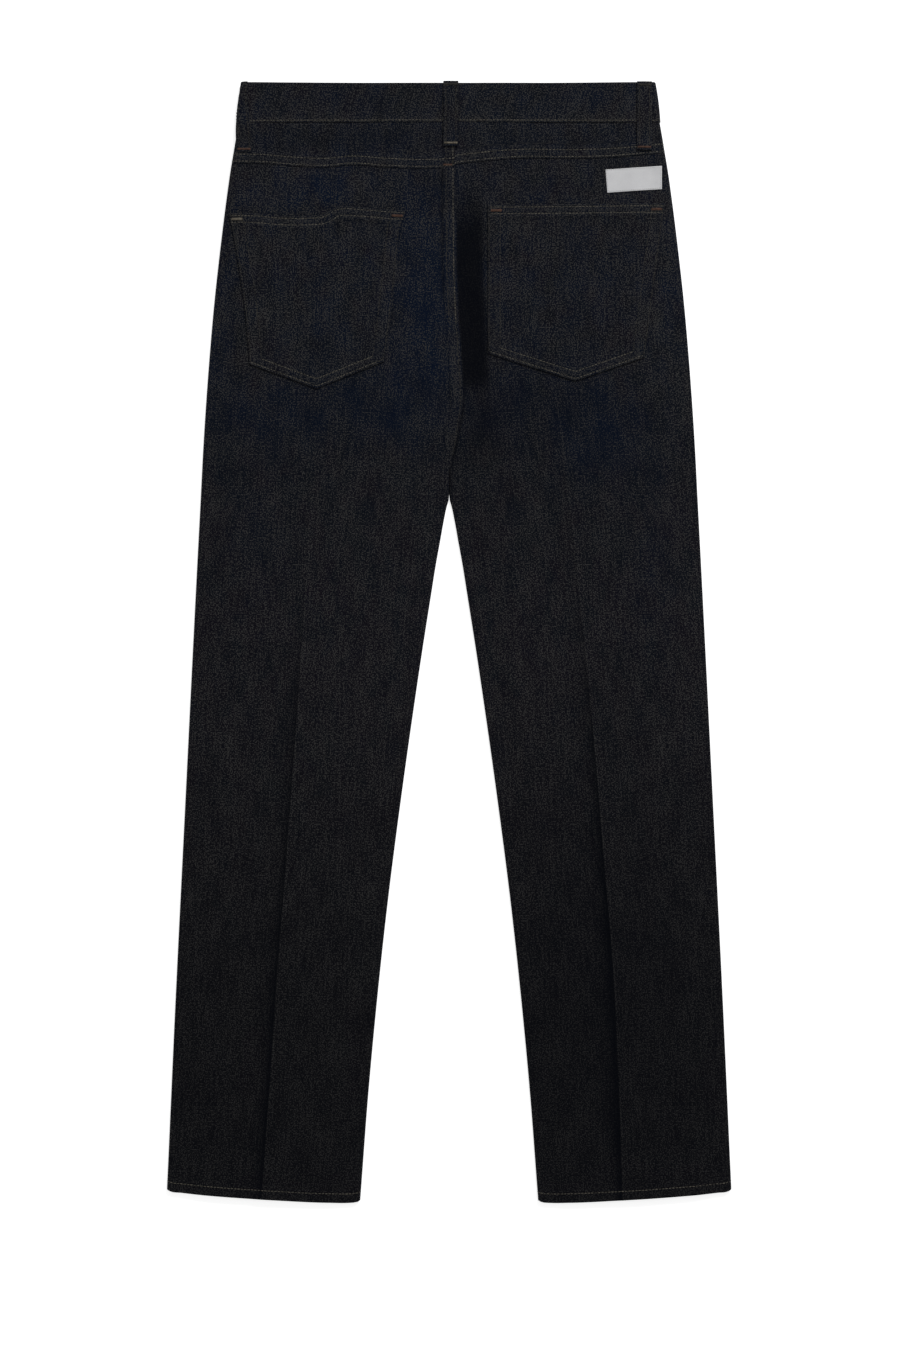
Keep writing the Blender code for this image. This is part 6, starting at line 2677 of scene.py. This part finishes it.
    def loop_rows(self, cloth: Cloth, thread: Thread) -> None:
        """The two rows down a belt loop."""
        for column in (5, -6):
            thread.run(*grid_line(cloth, column=column), 0.0012, 0.0012)

    def build(self) -> None:
        """Make everything in order."""
        for side in (-1.0, 1.0):
            self.legs(side)
        band = Waistband()
        row = band.edge_steps.index(band.stitch_row)
        self.topstitch.run(*grid_line(band.build(), row=row), 0.002, 0.002)
        loops = BeltLoops()
        for name, middle, foot in BACK_LOOPS:
            self.loop_rows(loops.on_back(name, middle, foot), self.dim_thread)
        self.loop_rows(loops.on_fold(*FOLD_LOOP), self.dim_thread)
        for name, middle in FRONT_LOOPS:
            self.loop_rows(loops.on_front(name, middle), self.under_thread)
        for pocket in (LEFT_POCKET, RIGHT_POCKET):
            pocket.build()
            self.pocket_rows(pocket)
        self.label_rows()
        self.tacks(loops)
        Zip().build()
        WaistButton().build()
        sewn = (self.topstitch, self.pocket_thread, self.under_thread, self.dim_thread)
        for thread in (*sewn, self.tan_tacks, self.copper_tacks, self.label_thread):
            thread.build()

    def label_rows(self) -> None:
        """The bare label and the fine stitches round it."""
        label = SewnLabel()
        label.build()
        line = inward(label.outline(), self.label_inset)
        line[-1] = line[0] = 0.5 * (line[0] + line[-1])
        for a, b in zip(line, line[1:]):
            self.label_thread.run(*on_face(np.array([a, b]), label.face))

    def tacks(self, loops: BeltLoops) -> None:
        """The dense bars that hold the loops, the seam crossing and the pocket corners.

        Args:
            loops: the belt loops.
        """
        for (_, middle, foot), thread in zip(BACK_LOOPS, (self.tan_tacks, self.copper_tacks)):
            face = lambda x, y, m=middle, f=foot: loops.back_face(m, f, x, y)
            for y, bar in ((foot + self.tack_up, thread), (loops.top - self.tack_down, self.dim_thread)):
                line = np.array([[middle - self.tack_half, y], [middle + self.tack_half, y]])
                bar.tack(*on_face(line, face), self.tack_wide)
        y = FOLD_LOOP[1] + self.tack_up
        place = np.linspace(-self.fold_tack_half, self.fold_tack_half, 12) + loops.slip(y)
        line = loops.round_fold(place, np.full(12, y), FOLD_LOOP[1], np.full(12, loops.thick + 0.0004))
        radius = loops.fold_frame(np.array(y), FOLD_LOOP[1])[0]
        angle = np.clip(place / radius, -0.5 * pi, 0.5 * pi)
        up = joined(-np.cos(angle), 0.0 * angle, np.sin(angle))
        self.copper_tacks.tack(line, up, self.tack_wide)
        for pocket in (LEFT_POCKET, RIGHT_POCKET):
            self.corner_tacks(pocket)
        seam = float(LAY.centre_seam(0.4650))
        crossing = lambda x, y: LAY.upper_face(x, y) + FELLED.rise
        y = float(LAY.yoke_left(0.0)) + self.crossing_up
        line = np.array([[seam + x, y] for x in self.crossing_run])
        self.copper_tacks.tack(*on_face(line, crossing), self.crossing_wide)

    def corner_tacks(self, pocket: BackPocket) -> None:
        """Bars at a pocket's two top corners: copper, but tan at the left pocket's outer one.

        Args:
            pocket: the pocket.
        """
        top = pocket.edges.on(pocket.edges.top, np.linspace(0.0, 1.0, 40))
        line = inward(top, 0.5 * sum(POCKET_TOP.rows))
        run = run_of(line)
        near, far = self.corner_run
        for start, end in ((near, far), (run[-1] - far, run[-1] - near)):
            part = places_at(np.linspace(start, end, 6), run, line)
            thread = self.tan_tacks if pocket is LEFT_POCKET and start == near else self.copper_tacks
            thread.tack(*on_face(part, pocket.face), self.corner_wide)


@dataclass(frozen=True)
class Studio:
    """Pale floor, soft light from past the waistband with an even fill, and the camera above."""

    floor_half: float = 3.0
    floor_z: float = -0.0002
    floor_glow: float = 0.72
    middle: Span = (0.0008, -0.0323)
    camera_height: float = 3.675
    lens: float = 100.0
    sensor: float = 36.0
    clip_end: float = 50.0
    key_from: Triple = (1.40, 2.95, 2.75)
    key_watts: float = 93.0
    key_size: float = 1.5
    fill_strength: float = 0.34

    def floor(self) -> None:
        """A plain pale floor that carries most of its brightness itself."""
        s = Shading("pale_floor")
        tone = s.noise(s.place(), (2.0, 2.0, 2.0), 2.0)
        mesh = bpy.data.meshes.new("floor")
        h = self.floor_half
        corners = [(x, y, self.floor_z) for x, y in ((-h, -h), (h, -h), (h, h), (-h, h))]
        mesh.from_pydata(corners, [], [(0, 1, 2, 3)])
        mesh.materials.append(s.close({
            "Base Color": s.mixed(tone, (0.80, 0.80, 0.80), (0.84, 0.84, 0.84)),
            "Roughness": 0.9,
            "Specular IOR Level": 0.1,
            "Emission Color": (1.0, 1.0, 1.0),
            "Emission Strength": self.floor_glow,
        }))
        made = bpy.data.objects.new("floor", mesh)
        bpy.context.scene.collection.objects.link(made)

    def lamp(self, name: str, at: Triple, watts: float, size: float) -> None:
        """A square soft lamp aimed at the garment's middle.

        Args:
            name: the lamp's name.
            at: where it hangs.
            watts: its power.
            size: its side.
        """
        light = bpy.data.lights.new(name, "AREA")
        light.energy, light.size = watts, size
        made = bpy.data.objects.new(name, light)
        made.location = at
        aim = Vector((*self.middle, 0.0)) - Vector(at)
        made.rotation_mode = "QUATERNION"
        made.rotation_quaternion = aim.to_track_quat("-Z", "Y")
        bpy.context.scene.collection.objects.link(made)

    def build(self) -> None:
        """Make the floor, the light, the world and the camera."""
        self.floor()
        self.lamp("key", self.key_from, self.key_watts, self.key_size)
        world = bpy.data.worlds.new("even_fill")
        world.use_nodes = True
        background = world.node_tree.nodes["Background"]
        background.inputs[0].default_value = (1.0, 1.0, 1.0, 1.0)
        background.inputs[1].default_value = self.fill_strength
        scene = bpy.context.scene
        scene.world = world
        scene.view_settings.view_transform = "Standard"
        lens = bpy.data.cameras.new("camera")
        lens.lens, lens.sensor_width, lens.clip_end = self.lens, self.sensor, self.clip_end
        camera = bpy.data.objects.new("camera", lens)
        camera.location = (*self.middle, self.camera_height)
        scene.collection.objects.link(camera)
        scene.camera = camera


def main() -> None:
    """Build every piece in order and report it."""
    logging.basicConfig(level=logging.INFO, format="%(name)s %(message)s")
    Studio().build()
    Garment().build()
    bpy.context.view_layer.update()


if __name__ == "__main__":
    main()
